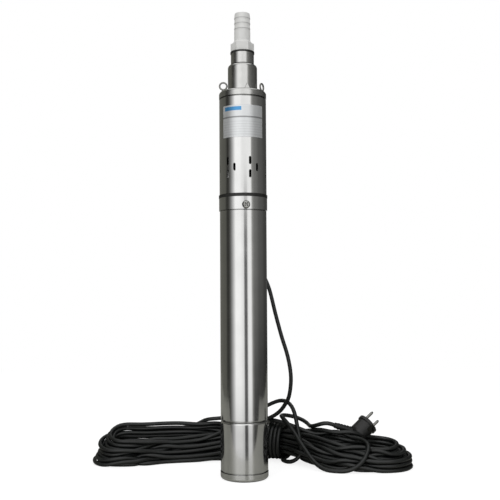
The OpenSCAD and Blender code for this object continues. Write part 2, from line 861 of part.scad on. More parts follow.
// Rod whose middle bends sideways by the eccentricity: straight grips, two arcs and a sleeve where they meet
module flexible_shaft() {
    grip_r = flex_d / 2;
    rod_r = grip_r - flex_waist;
    color("silver") {
        translate([0, 0, coupling_top - flex_grip + flex_end_gap])
            cylinder(r = grip_r, h = flex_grip - flex_end_gap + flex_lap);
        translate([bend_r, 0, coupling_top]) rotate([90, 0, 0]) rotate(180 - bend_turn)
            rotate_extrude(angle = bend_turn) translate([bend_r, 0]) circle(rod_r);
        translate([screw_ecc / 2, 0, coupling_top + bend_h / 2]) rotate([0, bend_turn, 0])
            cylinder(r = grip_r, h = flex_sleeve, center = true);
        translate([screw_ecc - bend_r, 0, socket_z]) rotate([90, 0, 0]) rotate(-bend_turn)
            rotate_extrude(angle = bend_turn) translate([bend_r, 0]) circle(rod_r);
        translate([screw_ecc, 0, socket_z - flex_lap])
            cylinder(r = grip_r, h = flex_lap + socket_depth - flex_end_gap);
    }
}

module screw_rotor() {
    turn = 360 * (screw_end - screw_z) / screw_pitch;
    color("lightsteelblue") translate([screw_ecc, 0, 0]) {
        difference() {
            translate([0, 0, socket_z]) cylinder(r = flex_d / 2 + socket_wall, h = socket_len);
            translate([0, 0, socket_z - 1]) cylinder(r = flex_d / 2 + run, h = socket_depth + 1);
        }
        translate([0, 0, screw_z]) rotate(360 * (screw_z - stator_z) / screw_pitch)
            linear_extrude(screw_end - screw_z, twist = -turn, slices = ceil(turn / facet_step), $fn = 24)
                translate([screw_ecc, 0]) circle(d = screw_d);
    }
}

// Discharge head

// Half section of the head's outside, from the casing spigot to the outlet
module head_outline() {
    spigot = casing_ri - fit;
    difference() {
        union() {
            translate([0, head_z - spigot_h]) square([spigot, spigot_h]);
            translate([0, head_z - 1]) square([head_groove_r, head_groove_h + 2]);
            translate([0, flange_z]) square([head_d / 2, head_flange_h - head_round]);
            translate([0, flange_z]) square([head_d / 2 - head_round, head_flange_h]);
            translate([head_d / 2 - head_round, flange_top - head_round]) circle(head_round);
            translate([0, flange_z]) square([neck_d / 2, neck_top - neck_round - flange_z]);
            translate([0, flange_z]) square([neck_d / 2 - neck_round, neck_top - flange_z]);
            translate([neck_d / 2 - neck_round, neck_top - neck_round]) circle(neck_round);
            translate([0, neck_top - 1]) square([outlet_d / 2, outlet_h + 1]);
            translate([neck_d / 2 - 1, flange_top - 1]) square([neck_fillet + 1, neck_fillet + 1]);
        }
        translate([neck_d / 2 + neck_fillet, flange_top + neck_fillet]) circle(neck_fillet);
        translate([outlet_d / 2 - line_depth, neck_top]) square([line_depth + 1, line_w]);
    }
}

// Water passage: seat for the stator's sleeve, chamber and outlet thread
module head_passage() {
    chamber_top = outlet_top - thread_len - passage_rise;
    translate([0, 0, head_z - spigot_h - 1])
        cylinder(r = sleeve_d / 2 + fit, h = stator_seat - head_z + spigot_h + 1);
    translate([0, 0, stator_seat - 1]) cylinder(r = neck_d / 2 - neck_wall, h = chamber_top - stator_seat + 1);
    translate([0, 0, chamber_top - eps])
        cylinder(r1 = neck_d / 2 - neck_wall, r2 = thread_d / 2 - thread_wall, h = passage_taper);
    translate([0, 0, chamber_top]) cylinder(r = thread_d / 2 - thread_wall, h = outlet_h);
    translate([0, 0, outlet_top - thread_len - 1]) cylinder(d = thread_d + 2 * fit, h = thread_len + 2);
}

// Raised flow arrow with a flat face, standing out of the neck
module flow_arrow() {
    rotate(arrow_turn) translate([0, 0, flange_top - eps]) rotate([90, 0, 0])
        linear_extrude(neck_d / 2 + arrow_t) polygon([[-arrow_w / 2, 0], [arrow_w / 2, 0], [0, arrow_h]]);
}

module discharge_head() {
    color("silver") difference() {
        union() {
            rotate_extrude() head_outline();
            flow_arrow();
        }
        head_passage();
        for (x = [-eye_x, eye_x]) translate([x, 0, flange_top - eye_shank_depth - 1])
            cylinder(r = eye_shank_r + fit, h = eye_shank_depth + 2);
        translate([0, 0, head_z - spigot_h / 2]) o_ring_cut(casing_ri - fit);
    }
}

module head_o_ring() {
    color("black") translate([0, 0, head_z - spigot_h / 2]) o_ring_in(casing_ri - fit);
}

// Lifting eye: a wire ring with a narrow land inside, on a collar and a threaded shank
module lifting_eye(rise) {
    ring_r = (eye_d - eye_wire) / 2;
    translate([0, 0, rise]) rotate([90, 0, 0]) rotate_extrude() difference() {
        translate([ring_r, 0]) circle(d = eye_wire);
        translate([0, -eye_wire]) square([ring_r - eye_wire / 2 + eye_land, 2 * eye_wire]);
    }
    cylinder(r = eye_collar_r, h = eye_collar_h);
    translate([0, 0, -eye_shank_depth]) cylinder(r = eye_shank_r, h = eye_shank_depth + rise - ring_r);
}

module lifting_eyes() {
    color("silver") translate([0, 0, flange_top]) {
        translate([-eye_x, 0, 0]) lifting_eye(eye_rise);
        translate([eye_x, 0, 0]) rotate(right_eye_turn) lifting_eye(right_eye_rise);
    }
}

module outlet_gasket() {
    color("black") translate([0, 0, outlet_top]) tube(gasket_d / 2, thread_d / 2 + fit, gasket_h);
}

module hose_barb() {
    color("white") difference() {
        union() {
            translate([0, 0, hex_z - gasket_h - thread_len]) cylinder(d = thread_d, h = gasket_h + thread_len + 1);
            translate([0, 0, hex_z]) hexagon(hex_w, hex_h);
            translate([0, 0, hex_z + hex_h - eps])
                cylinder(d1 = hex_w, d2 = hose_d, h = hex_taper + eps);
            translate([0, 0, hose_z - eps]) cylinder(d = hose_d, h = hose_plain + eps);
            for (i = [0:barb_count - 1]) translate([0, 0, barb_z + i * barb_h]) {
                translate([0, 0, -eps]) cylinder(d = hose_d - 2 * barb_valley, h = barb_h);
                translate([0, 0, barb_start]) cylinder(d = hose_d, h = barb_land);
                translate([0, 0, barb_start + barb_land - eps])
                    cylinder(d1 = hose_d, d2 = hose_d - 2 * barb_valley, h = barb_h - barb_start - barb_land);
            }
            translate([0, 0, barb_z + barb_count * barb_h - 2 * eps])
                cylinder(d1 = hose_d - 2 * barb_valley, d2 = hose_d - 2 * tip_cut, h = tip_h);
        }
        translate([0, 0, hex_z - gasket_h - thread_len - 1])
            cylinder(d = barb_bore_d, h = barb_z + barb_count * barb_h);
    }
}

// Cable gland

module gland_body() {
    bore_r = cable_d / 2 + cable_gap;
    color("dimgray") translate([0, 0, gland_z]) rotate([-90, 0, 0]) difference() {
        union() {
            translate([0, 0, gland_seat - gland_stub]) cylinder(r = gland_stub_r, h = gland_stub + 1);
            translate([0, 0, gland_seat]) hexagon(gland_flat_w, gland_hex);
            translate([0, 0, gland_seat]) cylinder(r = gland_neck_r, h = gland_hex + gland_neck);
        }
        translate([0, 0, gland_seat - gland_stub - 1])
            cylinder(r = bore_r, h = gland_stub + gland_hex + gland_neck + 2);
    }
}

module gland_nut() {
    color("dimgray") translate([0, 0, gland_z]) rotate([-90, 0, 0]) translate([0, 0, gland_nut_y]) difference() {
        union() {
            hexagon(gland_nut_w, gland_nut_hex);
            cylinder(d = gland_nut_w, h = gland_nut_len - gland_nut_edge);
            cylinder(d = gland_nut_w - 2 * gland_nut_step, h = gland_nut_len);
        }
        translate([0, 0, -1]) cylinder(r = cable_d / 2 + cable_gap, h = gland_nut_len + 2);
    }
}

// Tapered rubber sleeve with grip rings round the cable
module tapered_sleeve(r, length) {
    end_r = cable_d / 2 + sleeve_end_wall;
    step = length / (grip_rings + 1);
    difference() {
        union() {
            cylinder(r1 = r, r2 = end_r, h = length);
            for (i = [0:grip_rings - 1]) let (at = (i + grip_start) * step) translate([0, 0, at])
                cylinder(r = r - (r - end_r) * at / length + grip_h, h = step * grip_share);
        }
        translate([0, 0, -1]) cylinder(r = cable_d / 2 + cable_gap, h = length + 2);
    }
}

module gland_sleeve() {
    color("black") translate([0, sleeve_y, gland_z]) rotate([-90, 0, 0]) tapered_sleeve(sleeve_big_r, sleeve_len);
}

// Power cable

module power_cable() {
    color([0.13, 0.13, 0.13]) swept(hang, cable_d / 2, cable_sides);
}

// Long oval outline with round ends
module long_oval(length, w) {
    square([length - w, w], center = true);
    for (x = [-(length - w) / 2, (length - w) / 2]) translate([x, 0]) circle(d = w);
}

// One oval of the hank at its place on the floor
module hank_oval(at, turn, length, w, h) {
    translate(at) rotate(turn) linear_extrude(h) long_oval(length, w);
}

module cable_hank() {
    color([0.13, 0.13, 0.13]) {
        hank_oval(hank_left_at, hank_left_turn, hank_left_len, hank_left_w, hank_left_h);
        hank_oval(hank_waist_at, hank_waist_turn, hank_waist_len, hank_waist_w, hank_waist_h);
        hank_oval(hank_right_at, hank_right_turn, hank_right_len, hank_right_w, hank_right_h);
    }
}

// Plug, drawn along its own axis and laid on the hank

module on_hank() {
    translate(plug_at) rotate([0, 0, plug_turn]) rotate([plug_tilt - 90, 0, 0]) rotate([0, 0, plug_roll]) children();
}

module at_plug_back() {
    translate(sleeve_root) rotate([0, 0, plug_sleeve_turn]) rotate([plug_sleeve_tilt - 90, 0, 0]) children();
}

module plug_lead() {
    color([0.13, 0.13, 0.13]) swept(lead, cable_d / 2, cable_sides);
}

module plug_sleeve() {
    color([0.13, 0.13, 0.13]) at_plug_back() tapered_sleeve(plug_sleeve_r, plug_sleeve_len);
}

// Half section of the plug's body: a rim at the front and a round back
module plug_outline() {
    r = plug_body_d / 2;
    translate([0, -plug_rim]) square([plug_d / 2, plug_rim]);
    translate([0, plug_round - plug_len]) square([r, plug_len - plug_round]);
    translate([0, -plug_len]) square([r - plug_round, plug_round + 1]);
    intersection() {
        translate([r - plug_round, plug_round - plug_len]) circle(plug_round);
        translate([0, -plug_len]) square([r, plug_len]);
    }
}

module plug_body() {
    color([0.13, 0.13, 0.13]) difference() {
        on_hank() difference() {
            rotate_extrude() plug_outline();
            for (side = [-1, 1]) translate([0, side * plug_d / 2, 0])
                cube([plug_groove_w, 2 * plug_groove_depth, 2 * plug_groove_len], center = true);
            translate([0, pin_gap / 2, -plug_pin_root]) cylinder(r = earth_hole_r, h = plug_pin_root + 1);
            for (side = [-1, 1]) translate([side * pin_gap / 2, 0, -plug_pin_root])
                cylinder(d = pin_root_d + 2 * fit, h = plug_pin_root + 1);
        }
        at_plug_back() cylinder(r = plug_sleeve_r + grip_h + 2 * fit, h = plug_sleeve_len);
    }
}

module plug_pins() {
    tip = pin_d / 2;
    color("silver") on_hank() for (side = [-1, 1]) translate([side * pin_gap / 2, 0, -plug_pin_root]) {
        cylinder(d = pin_root_d, h = plug_pin_root + 1);
        translate([0, 0, plug_pin_root]) cylinder(d = pin_d, h = pin_len - tip);
        translate([0, 0, plug_pin_root + pin_len - tip - eps]) cylinder(d1 = pin_d, d2 = pin_d / 2, h = tip);
    }
}

module plug_earth_clips() {
    clip_w = plug_groove_w - 2 * earth_clip_gap;
    color("silver") on_hank() for (side = [-1, 1])
        translate([0, side * (plug_d / 2 - plug_groove_depth + earth_clip_t / 2), -plug_groove_len / 2])
            cube([clip_w, earth_clip_t, plug_groove_len - 2 * earth_clip_gap], center = true);
}

foot_cap();
foot_o_ring();
capacitor_can();
capacitor();
lower_bracket();
bracket_o_rings();
motor_tube();
stator_core();
stator_windings();
lower_bearing_outer();
upper_bearing_outer();
motor_flange();
flange_o_rings();
oil_filler_screw();
oil_filler_washer();
seal_seat();
casing_ring();
pump_casing();
bare_plate();
stator_sleeve();
stator_rubber();
discharge_head();
head_o_ring();
lifting_eyes();
outlet_gasket();
hose_barb();
motor_shaft();
rotor_core();
rotor_end_rings();
lower_bearing_inner();
upper_bearing_inner();
seal_head();
seal_spring();
sand_slinger();
shaft_coupling();
coupling_pin();
lower_bearing_balls();
upper_bearing_balls();
flexible_shaft();
screw_rotor();
gland_body();
gland_nut();
gland_sleeve();
power_cable();
cable_hank();
plug_lead();
plug_sleeve();
plug_body();
plug_pins();
plug_earth_clips();
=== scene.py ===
"""Looks of a borehole submersible pump: its coiled cable, finishes, label plate and a white studio."""

import math
import random

import bpy
import numpy as np
from mathutils import Matrix, Vector


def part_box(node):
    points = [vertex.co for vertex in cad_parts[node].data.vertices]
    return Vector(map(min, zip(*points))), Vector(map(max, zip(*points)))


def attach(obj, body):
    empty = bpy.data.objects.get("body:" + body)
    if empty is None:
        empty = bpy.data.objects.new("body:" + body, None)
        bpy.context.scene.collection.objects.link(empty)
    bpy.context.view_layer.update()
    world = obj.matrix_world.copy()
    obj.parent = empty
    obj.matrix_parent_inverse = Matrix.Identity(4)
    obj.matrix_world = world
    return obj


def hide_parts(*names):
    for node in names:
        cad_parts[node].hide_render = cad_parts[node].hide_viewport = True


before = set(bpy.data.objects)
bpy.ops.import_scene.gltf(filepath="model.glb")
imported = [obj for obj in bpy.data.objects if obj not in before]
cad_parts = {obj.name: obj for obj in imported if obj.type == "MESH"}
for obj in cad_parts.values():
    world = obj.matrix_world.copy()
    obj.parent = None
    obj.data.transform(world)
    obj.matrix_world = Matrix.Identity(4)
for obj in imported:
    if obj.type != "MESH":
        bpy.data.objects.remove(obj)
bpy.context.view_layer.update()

bl_info = {
    "name": "Borehole pump dresser",
    "version": (1, 0, 0),
    "blender": (4, 5, 0),
    "location": "View3D > Sidebar > Pump",
    "description": "Dresses a borehole pump with its cable, finishes, label plate and studio",
    "category": "Object",
}

MM = 0.001
ROOT = "pump_body"


def linear(hex_colour):
    """Turns an sRGB hex colour into linear red, green and blue."""
    shares = [int(hex_colour[i:i + 2], 16) / 255 for i in (1, 3, 5)]
    return [s / 12.92 if s <= 0.04045 else ((s + 0.055) / 1.055) ** 2.4 for s in shares]


def colour_setting(name, hex_colour, description):
    """A colour that a user may change."""
    return bpy.props.FloatVectorProperty(
        name=name, description=description, subtype="COLOR", min=0, max=1, default=linear(hex_colour))


class PumpCableSettings(bpy.types.PropertyGroup):
    """Sizes of the power cable."""
    diameter: bpy.props.FloatProperty(
        name="Diameter", description="Outside of the rubber sheath", default=7 * MM, unit="LENGTH")
    turns: bpy.props.IntProperty(
        name="Turns", description="Turns of cable in the hank", default=17, min=8, max=24)
    wraps: bpy.props.IntProperty(
        name="Wraps", description="Turns of the cable round the hank's waist", default=4, min=2, max=6)
    seed: bpy.props.IntProperty(
        name="Seed", description="Chooses how the turns wander", default=4)


class PumpFinishSettings(bpy.types.PropertyGroup):
    """Colours of the finishes."""
    steel: colour_setting("Stainless steel", "#CFCFCE", "Polished tubes of the pump")
    cast_steel: colour_setting("Cast steel", "#C6C6C4", "Turned discharge head")
    bright_steel: colour_setting("Bright steel", "#B4B4B0", "Screws, pins and other bright pieces")
    wire: colour_setting("Steel wire", "#8E8E8A", "Lifting eyes and plug pins")
    tarnish: colour_setting("Tarnished metal", "#3A3A36", "Earth contacts of the plug and wetted shaft")
    foil: colour_setting("Label foil", "#D5D7D8", "Bare label plate")
    bar: colour_setting("Label bar", "#4E93C8", "Plain bar on the label plate")
    rubber: colour_setting("Black rubber", "#161614", "Sealing rings and gasket")
    sheath: colour_setting("Cable sheath", "#0D100F", "Rubber of the power cable")
    plug: colour_setting("Black plastic", "#191918", "Plug and cable gland")
    polypropylene: colour_setting("White polypropylene", "#D8D8D6", "Hose tail")


class PumpStageSettings(bpy.types.PropertyGroup):
    """Camera and light."""
    lens: bpy.props.FloatProperty(
        name="Lens", description="Focal length on a 36 mm wide sensor, in millimetres", default=55.44)
    key_power: bpy.props.FloatProperty(
        name="Key power", description="Power of the tall soft box on the left", default=9, unit="POWER")
    fill_power: bpy.props.FloatProperty(
        name="Fill power", description="Power of the narrow soft box on the right", default=3.4, unit="POWER")
    top_power: bpy.props.FloatProperty(
        name="Top power", description="Power of the soft box overhead", default=14, unit="POWER")


# Camera

CAMERA_PLACE = (0, -1.236, 0.2962)
CAMERA_TILT_UP = math.radians(2.97)
CAMERA_ROLL = math.radians(-0.31)
# The pump stands a little left of the picture's middle
CAMERA_SHIFT = 0.0132


def make_camera(settings):
    """Camera in front of the pump, a little below the middle of its height."""
    data = bpy.data.cameras.new("camera")
    data.sensor_width = 36
    data.lens = settings.lens
    data.shift_x = CAMERA_SHIFT
    data.clip_start = 0.01
    camera = bpy.data.objects.new("camera", data)
    bpy.context.collection.objects.link(camera)
    turn = Matrix.Rotation(math.pi / 2 + CAMERA_TILT_UP, 4, "X") @ Matrix.Rotation(CAMERA_ROLL, 4, "Z")
    camera.matrix_world = Matrix.Translation(CAMERA_PLACE) @ turn
    bpy.context.scene.camera = camera


# Cable

# Hanging stretch, from the gland's sleeve to the hank
HANG_ROUTE = [
    (0.002, 0.112, 0.432), (0.005, 0.128, 0.424), (0.009, 0.138, 0.409), (0.014, 0.142, 0.388),
    (0.020, 0.140, 0.364), (0.028, 0.133, 0.338), (0.038, 0.124, 0.316), (0.046, 0.116, 0.294),
    (0.055, 0.107, 0.255), (0.065, 0.098, 0.216), (0.074, 0.093, 0.186), (0.079, 0.091, 0.160),
    (0.080, 0.092, 0.137), (0.076, 0.099, 0.110), (0.066, 0.111, 0.093), (0.055, 0.121, 0.080),
    (0.043, 0.130, 0.071), (0.028, 0.136, 0.066), (0.010, 0.140, 0.065)]
# Loose loop that rises from the hank behind the pump, falls in front of it and goes under its waist
LOOSE_LOOP = [
    (-0.060, 0.146, 0.068), (-0.030, 0.150, 0.072), (0.000, 0.151, 0.078), (0.024, 0.147, 0.086),
    (0.043, 0.141, 0.094), (0.058, 0.134, 0.101), (0.072, 0.124, 0.104), (0.080, 0.116, 0.100),
    (0.086, 0.108, 0.084), (0.092, 0.098, 0.057), (0.097, 0.091, 0.038), (0.097, 0.087, 0.022),
    (0.090, 0.088, 0.009), (0.078, 0.092, 0.004), (0.068, 0.099, 0.004), (0.066, 0.111, 0.004)]
# Loop that leaves the waist, lies on the right end's front and comes back up to the plug
FRONT_LOOP = [
    (0.044, 0.136, 0.071), (0.050, 0.124, 0.071), (0.063, 0.117, 0.070), (0.080, 0.112, 0.065),
    (0.098, 0.107, 0.057), (0.115, 0.101, 0.053), (0.134, 0.097, 0.054), (0.155, 0.090, 0.055),
    (0.178, 0.079, 0.054), (0.197, 0.063, 0.049), (0.205, 0.046, 0.040), (0.200, 0.031, 0.027),
    (0.184, 0.022, 0.013), (0.164, 0.020, 0.005), (0.141, 0.024, 0.004), (0.121, 0.041, 0.010),
    (0.103, 0.066, 0.029), (0.091, 0.084, 0.047), (0.079, 0.098, 0.063), (0.070, 0.112, 0.0745),
    (0.066, 0.128, 0.0755), (0.0695, 0.141, 0.0755), (0.077, 0.1505, 0.0745), (0.088, 0.154, 0.0725),
    (0.0995, 0.1505, 0.069), (0.108, 0.141, 0.065), (0.1115, 0.128, 0.0615), (0.1135, 0.116, 0.060),
    (0.118, 0.1045, 0.0615), (0.1255, 0.0955, 0.065), (0.135, 0.0905, 0.0683)]
# Middle line of the hank on the floor, from its left end to its right end
HANK_LINE = [
    (-0.262, 0.117), (-0.194, 0.119), (-0.130, 0.129), (-0.060, 0.140), (0.000, 0.145), (0.050, 0.140),
    (0.100, 0.114), (0.150, 0.086), (0.200, 0.070), (0.285, 0.062)]
WAIST_SHARE = 0.575
# Shares of the hank's length where its strands lie apart, left and right of the waist
LEFT_SHARE = 0.3
RIGHT_SHARE = 0.78
# Distance from the hank's middle line to its first strand: near and far side of the left end, near and
# far side of the right end, and the near side between the left end and the waist
NEAR_ROOM = 21 * MM
FAR_ROOM = 17 * MM
END_ROOM = 21 * MM
END_FAR_ROOM = 1.25 * END_ROOM
STATION_ROOM = 4 * MM
# Radius of the tightest fold of the cable, and the angles of the points on a fold
FOLD_RADIUS = 25 * MM
FOLD_ANGLES = (-90, -54, -18, 18, 54, 90)
# Distance between strands in diameters, and between the rows of three stacks in that distance
STRAND_PITCH = 1.03
STACK_STEP = 0.95
LOOSE_STEP = 1.3
CLOSE_STEP = 0.87
# Width of a heap's lowest row in strands, and how much narrower each row above it is
HEAP_WIDTH = 4.4
HEAP_SLOPE = 0.6
# Loops side by side at the right end
NEST_COLUMNS = 4
# How far the inner loops end before the outer ones, in strands
LEFT_RECESS = 1.3
RIGHT_RECESS = 0.8 * LEFT_RECESS
# How far a strand strays from its place, and the two ends of a turn from the hank's ends, in millimetres
WANDER = 3
LEFT_STRAY = (2, 10)
RIGHT_STRAY = (6, 12)
# How many places further a near strand may change to
CROSSING = 4
# Wraps of the waist: height of the bundle over the floor, wrap's distance from it and step, in diameters
BUNDLE_RISE = 1.1
WRAP_ROOM = 0.55
WRAP_STEP = 1.05
# Angle where the first wrap starts, in degrees, and points on one wrap
WRAP_START = -100
WRAP_POINTS = 16
# Distance from the pump's axis that the cable keeps out of
PUMP_RADIUS = 39 * MM
# Steps of a curve between two key points, distance of the line's points, and straight stretch at its ends
CURVE_STEPS = 24
SPACING = 6 * MM
STRAIGHT = 10 * MM
# Points at the foot of the hanging stretch that may move, and points at the plug's end that may not
LOOSE_POINTS = 14
LEAD_POINTS = 6
# Settling: steps, steps between searches for close strands, and how far a strand sinks in one step
SETTLE_STEPS = 260
SEARCH_STEPS = 12
SINK = 0.008 * MM
# Shares of a fault that one step takes away
PUSH_SHARE = 0.3
OPEN_SHARE = 0.3
STRAIGHTEN_SHARE = 0.04
# Strands closer than this are watched, and pushed apart to this, in diameters
WATCH = 1.7
CLEAR = 1.01
# Points of one strand this near to each other are left alone
OWN_POINTS = 5
# Points this far apart on the line may not come closer than on the tightest fold
BEND_REACHES = (3, 4, 6, 9)
TINY = 1e-6


def smooth_curve(points, spacing):
    """Rounds a drawn route with a Catmull-Rom curve and places points on it at even spacing."""
    p = np.array(points, float)
    p = np.vstack([2 * p[0] - p[1], p, 2 * p[-1] - p[-2]])
    steps = np.linspace(0, 1, CURVE_STEPS, endpoint=False)[:, None]
    stretches = []
    for a, b, c, d in zip(p, p[1:], p[2:], p[3:]):
        stretches.append(0.5 * (2 * b + (c - a) * steps + (2 * a - 5 * b + 4 * c - d) * steps ** 2
                                + (3 * b - a - 3 * c + d) * steps ** 3))
    fine = np.vstack(stretches + [p[-2:-1]])
    return even_points(fine, spacing)


def even_points(fine, spacing):
    """Points at even spacing along a fine polyline."""
    length = np.concatenate([[0], np.cumsum(np.linalg.norm(np.diff(fine, axis=0), axis=1))])
    count = max(2, int(round(length[-1] / spacing)) + 1)
    places = np.linspace(0, length[-1], count)
    return np.column_stack([np.interp(places, length, fine[:, axis]) for axis in range(fine.shape[1])])


class HankFrame:
    """The hank's bent middle line: turns distances along and across it and a height into a point."""

    def __init__(self):
        self.line = smooth_curve(HANK_LINE, MM)
        self.length = MM * (len(self.line) - 1)

    def point(self, along, across, height):
        """along is metres from the left end."""
        index = along / MM
        whole = int(np.clip(math.floor(index), 1, len(self.line) - 3))
        here = self.line[whole] + (self.line[whole + 1] - self.line[whole]) * (index - whole)
        way = self.line[whole + 2] - self.line[whole - 1]
        way = way / np.linalg.norm(way)
        return np.array([here[0] - way[1] * across, here[1] + way[0] * across, height])


def packed_bundle(count, spacing):
    """Places of strands packed in a round bundle: the near half and the far half, each from low to high."""
    reach = range(-6, 7)
    places = [(spacing * (column + 0.5 * (row % 2)), spacing * math.sqrt(0.75) * row)
              for row in reach for column in reach]
    places.sort(key=lambda place: place[0] ** 2 + place[1] ** 2)
    places = sorted(places[:count])
    half = count // 2
    return [sorted(side, key=lambda place: place[1]) for side in (places[:half], places[half:])]


def fold(hank, end, inward, start, stop):
    """Round end of a turn, between two places across the hank and in height; inward is 1 at the left end."""
    middle = (start + stop) / 2
    half = (stop - start) / 2
    radius = max(np.linalg.norm(half), FOLD_RADIUS)
    half = half * radius / np.linalg.norm(half)
    points = []
    for angle in np.radians(FOLD_ANGLES):
        across, height = middle + half * math.sin(angle)
        points.append(hank.point(end + inward * radius * (1 - math.cos(angle)), across, height))
    return points


def heap(slot):
    """Column and row of a strand in a heap whose rows get narrower."""
    row = 0
    while slot >= max(1, round(HEAP_WIDTH - HEAP_SLOPE * row)):
        slot -= max(1, round(HEAP_WIDTH - HEAP_SLOPE * row))
        row += 1
    return slot, row


def crossed_slots(rng, count):
    """Places of the near strands by the waist, a little mixed, so that the strands cross."""
    crossed = list(range(count))
    for slot in range(count):
        other = min(count - 1, slot + rng.randint(0, CROSSING))
        crossed[slot], crossed[other] = crossed[other], crossed[slot]
    return crossed


def hank_turns(cable, hank):
    """Key points of the hank's turns, which are gathered at the waist and open at both ends."""
    rng = random.Random(cable.seed)
    d = cable.diameter
    pitch = STRAND_PITCH * d
    near, far = packed_bundle(2 * cable.turns, pitch)
    bundle_r = pitch * math.sqrt(2 * cable.turns * math.sqrt(0.75) / math.pi) + d / 2
    waist = WAIST_SHARE * hank.length
    waist_z = bundle_r + BUNDLE_RISE * d
    left_station = LEFT_SHARE * hank.length
    right_station = RIGHT_SHARE * hank.length
    points = []

    def place(side, room, column, row, step):
        """Place of a strand across the hank and in height, with a little wander."""
        across = side * (room + pitch * column) + rng.uniform(-WANDER, WANDER) * MM
        return np.array([across, d / 2 + step * row + rng.uniform(0, WANDER) * MM])

    crossed = crossed_slots(rng, cable.turns)
    for turn in range(cable.turns):
        # The first turn lies on top of the others
        slot = (turn - 1) % cable.turns
        column, row = heap(slot)
        crossed_place = heap(crossed[slot])
        stack_column, stack_row = slot % 2 + 0.5 * (slot // 2 % 2), slot // 2
        nest, layer = slot % NEST_COLUMNS, slot // NEST_COLUMNS
        left_near = place(-1, NEAR_ROOM, column, row, pitch)
        left_far = place(1, FAR_ROOM, stack_column, stack_row, STACK_STEP * pitch)
        right_far = place(1, END_FAR_ROOM, nest, layer, LOOSE_STEP * pitch)
        right_near = place(-1, END_ROOM, nest, layer, pitch)
        left_recess = LEFT_RECESS * pitch * (int(HEAP_WIDTH) - 1 - column)
        right_recess = RIGHT_RECESS * pitch * (NEST_COLUMNS - 1 - nest)
        left_end = rng.uniform(*LEFT_STRAY) * MM + left_recess
        right_end = hank.length - rng.uniform(*RIGHT_STRAY) * MM - right_recess
        points.append(hank.point(waist, near[slot][0], waist_z + near[slot][1]))
        points.append(hank.point(left_station, *place(-1, STATION_ROOM, *crossed_place, pitch)))
        points += fold(hank, left_end, 1, left_near, left_far)
        left_far_station = place(1, FAR_ROOM, stack_column, stack_row, STACK_STEP * pitch)
        points.append(hank.point(left_station, *left_far_station))
        points.append(hank.point(waist, far[slot][0], waist_z + far[slot][1]))
        right_far_station = place(1, 0, stack_column, stack_row, CLOSE_STEP * pitch)
        points.append(hank.point(right_station, *right_far_station))
        points += fold(hank, right_end, -1, right_far, right_near)
        points.append(hank.point(right_station, *place(-1, NEAR_ROOM, *crossed_place, pitch)))
    # The last turn leaves the hank at its left end
    last_part = len(FOLD_ANGLES) + 3
    return points[1:-last_part], waist, waist_z, bundle_r


def waist_wraps(cable, hank, waist, waist_z, bundle_r):
    """Turns of the cable round the hank's waist, from its right to its left."""
    d = cable.diameter
    points = []
    radius = bundle_r + WRAP_ROOM * d
    for step in range(WRAP_POINTS * cable.wraps + WRAP_POINTS // 2 + 1):
        angle = math.radians(WRAP_START + 360 * step / WRAP_POINTS)
        along = waist + d * WRAP_STEP * (cable.wraps / 2 - step / WRAP_POINTS)
        points.append(hank.point(along, radius * math.cos(angle), waist_z + radius * math.sin(angle)))
    return points


def push_apart(p, pairs, free, d):
    """Moves strands away from each other where they cut each other."""
    a, b = pairs
    gap = p[a] - p[b]
    far = np.linalg.norm(gap, axis=1)
    push = np.clip(CLEAR * d - far, 0, None) / np.maximum(far, TINY)
    move = PUSH_SHARE * gap * push[:, None]
    np.add.at(p, a, move * free[a])
    np.add.at(p, b, -move * free[b])


def open_bends(p, free, spacing):
    """Keeps points a few steps apart as far apart as on the tightest fold, and evens out the bends."""
    for reach in BEND_REACHES:
        chord = 2 * FOLD_RADIUS * math.sin(reach * spacing / (2 * FOLD_RADIUS))
        span = p[reach:] - p[:-reach]
        size = np.linalg.norm(span, axis=1)
        push = OPEN_SHARE * np.clip(chord / np.maximum(size, TINY) - 1, 0, 1)[:, None] * span
        p[reach:] += push * free[reach:]
        p[:-reach] -= push * free[:-reach]
    bend = np.zeros_like(p)
    bend[2:-2] = p[:-4] - 4 * p[1:-3] + 6 * p[2:-2] - 4 * p[3:-1] + p[4:]
    p -= STRAIGHTEN_SHARE * bend * free


def keep_length(p, rest, free):
    """Brings neighbouring points back to their distance along the cable."""
    for start in (0, 1):
        i = np.arange(start, len(p) - 1, 2)
        span = p[i + 1] - p[i]
        size = np.linalg.norm(span, axis=1)
        pull = 0.5 * (1 - rest[i] / size)[:, None] * span
        p[i] += pull * free[i]
        p[i + 1] -= pull * free[i + 1]


def keep_out(p, held, d):
    """Keeps the cable out of the pump and on the floor."""
    pump_r = PUMP_RADIUS + d / 2
    out = np.hypot(p[:, 0], p[:, 1])
    inside = (out < pump_r) & ~held
    p[inside, :2] *= (pump_r / out[inside])[:, None]
    p[:, 2] = np.where(held, p[:, 2], np.maximum(p[:, 2], d / 2))


def settle(points, held, cable):
    """Lets the strands part, open their tight bends and sink on the floor."""
    d = cable.diameter
    p = points.copy()
    rest = np.linalg.norm(np.diff(p, axis=0), axis=1)
    spacing = rest.mean()
    free = (~held).astype(float)[:, None]
    for step in range(SETTLE_STEPS):
        if step % SEARCH_STEPS == 0:
            pairs = close_pairs(p, WATCH * d, OWN_POINTS)
        p[:, 2] -= SINK * free[:, 0]
        push_apart(p, pairs, free, d)
        open_bends(p, free, spacing)
        keep_length(p, rest, free)
        keep_out(p, held, d)
    return p


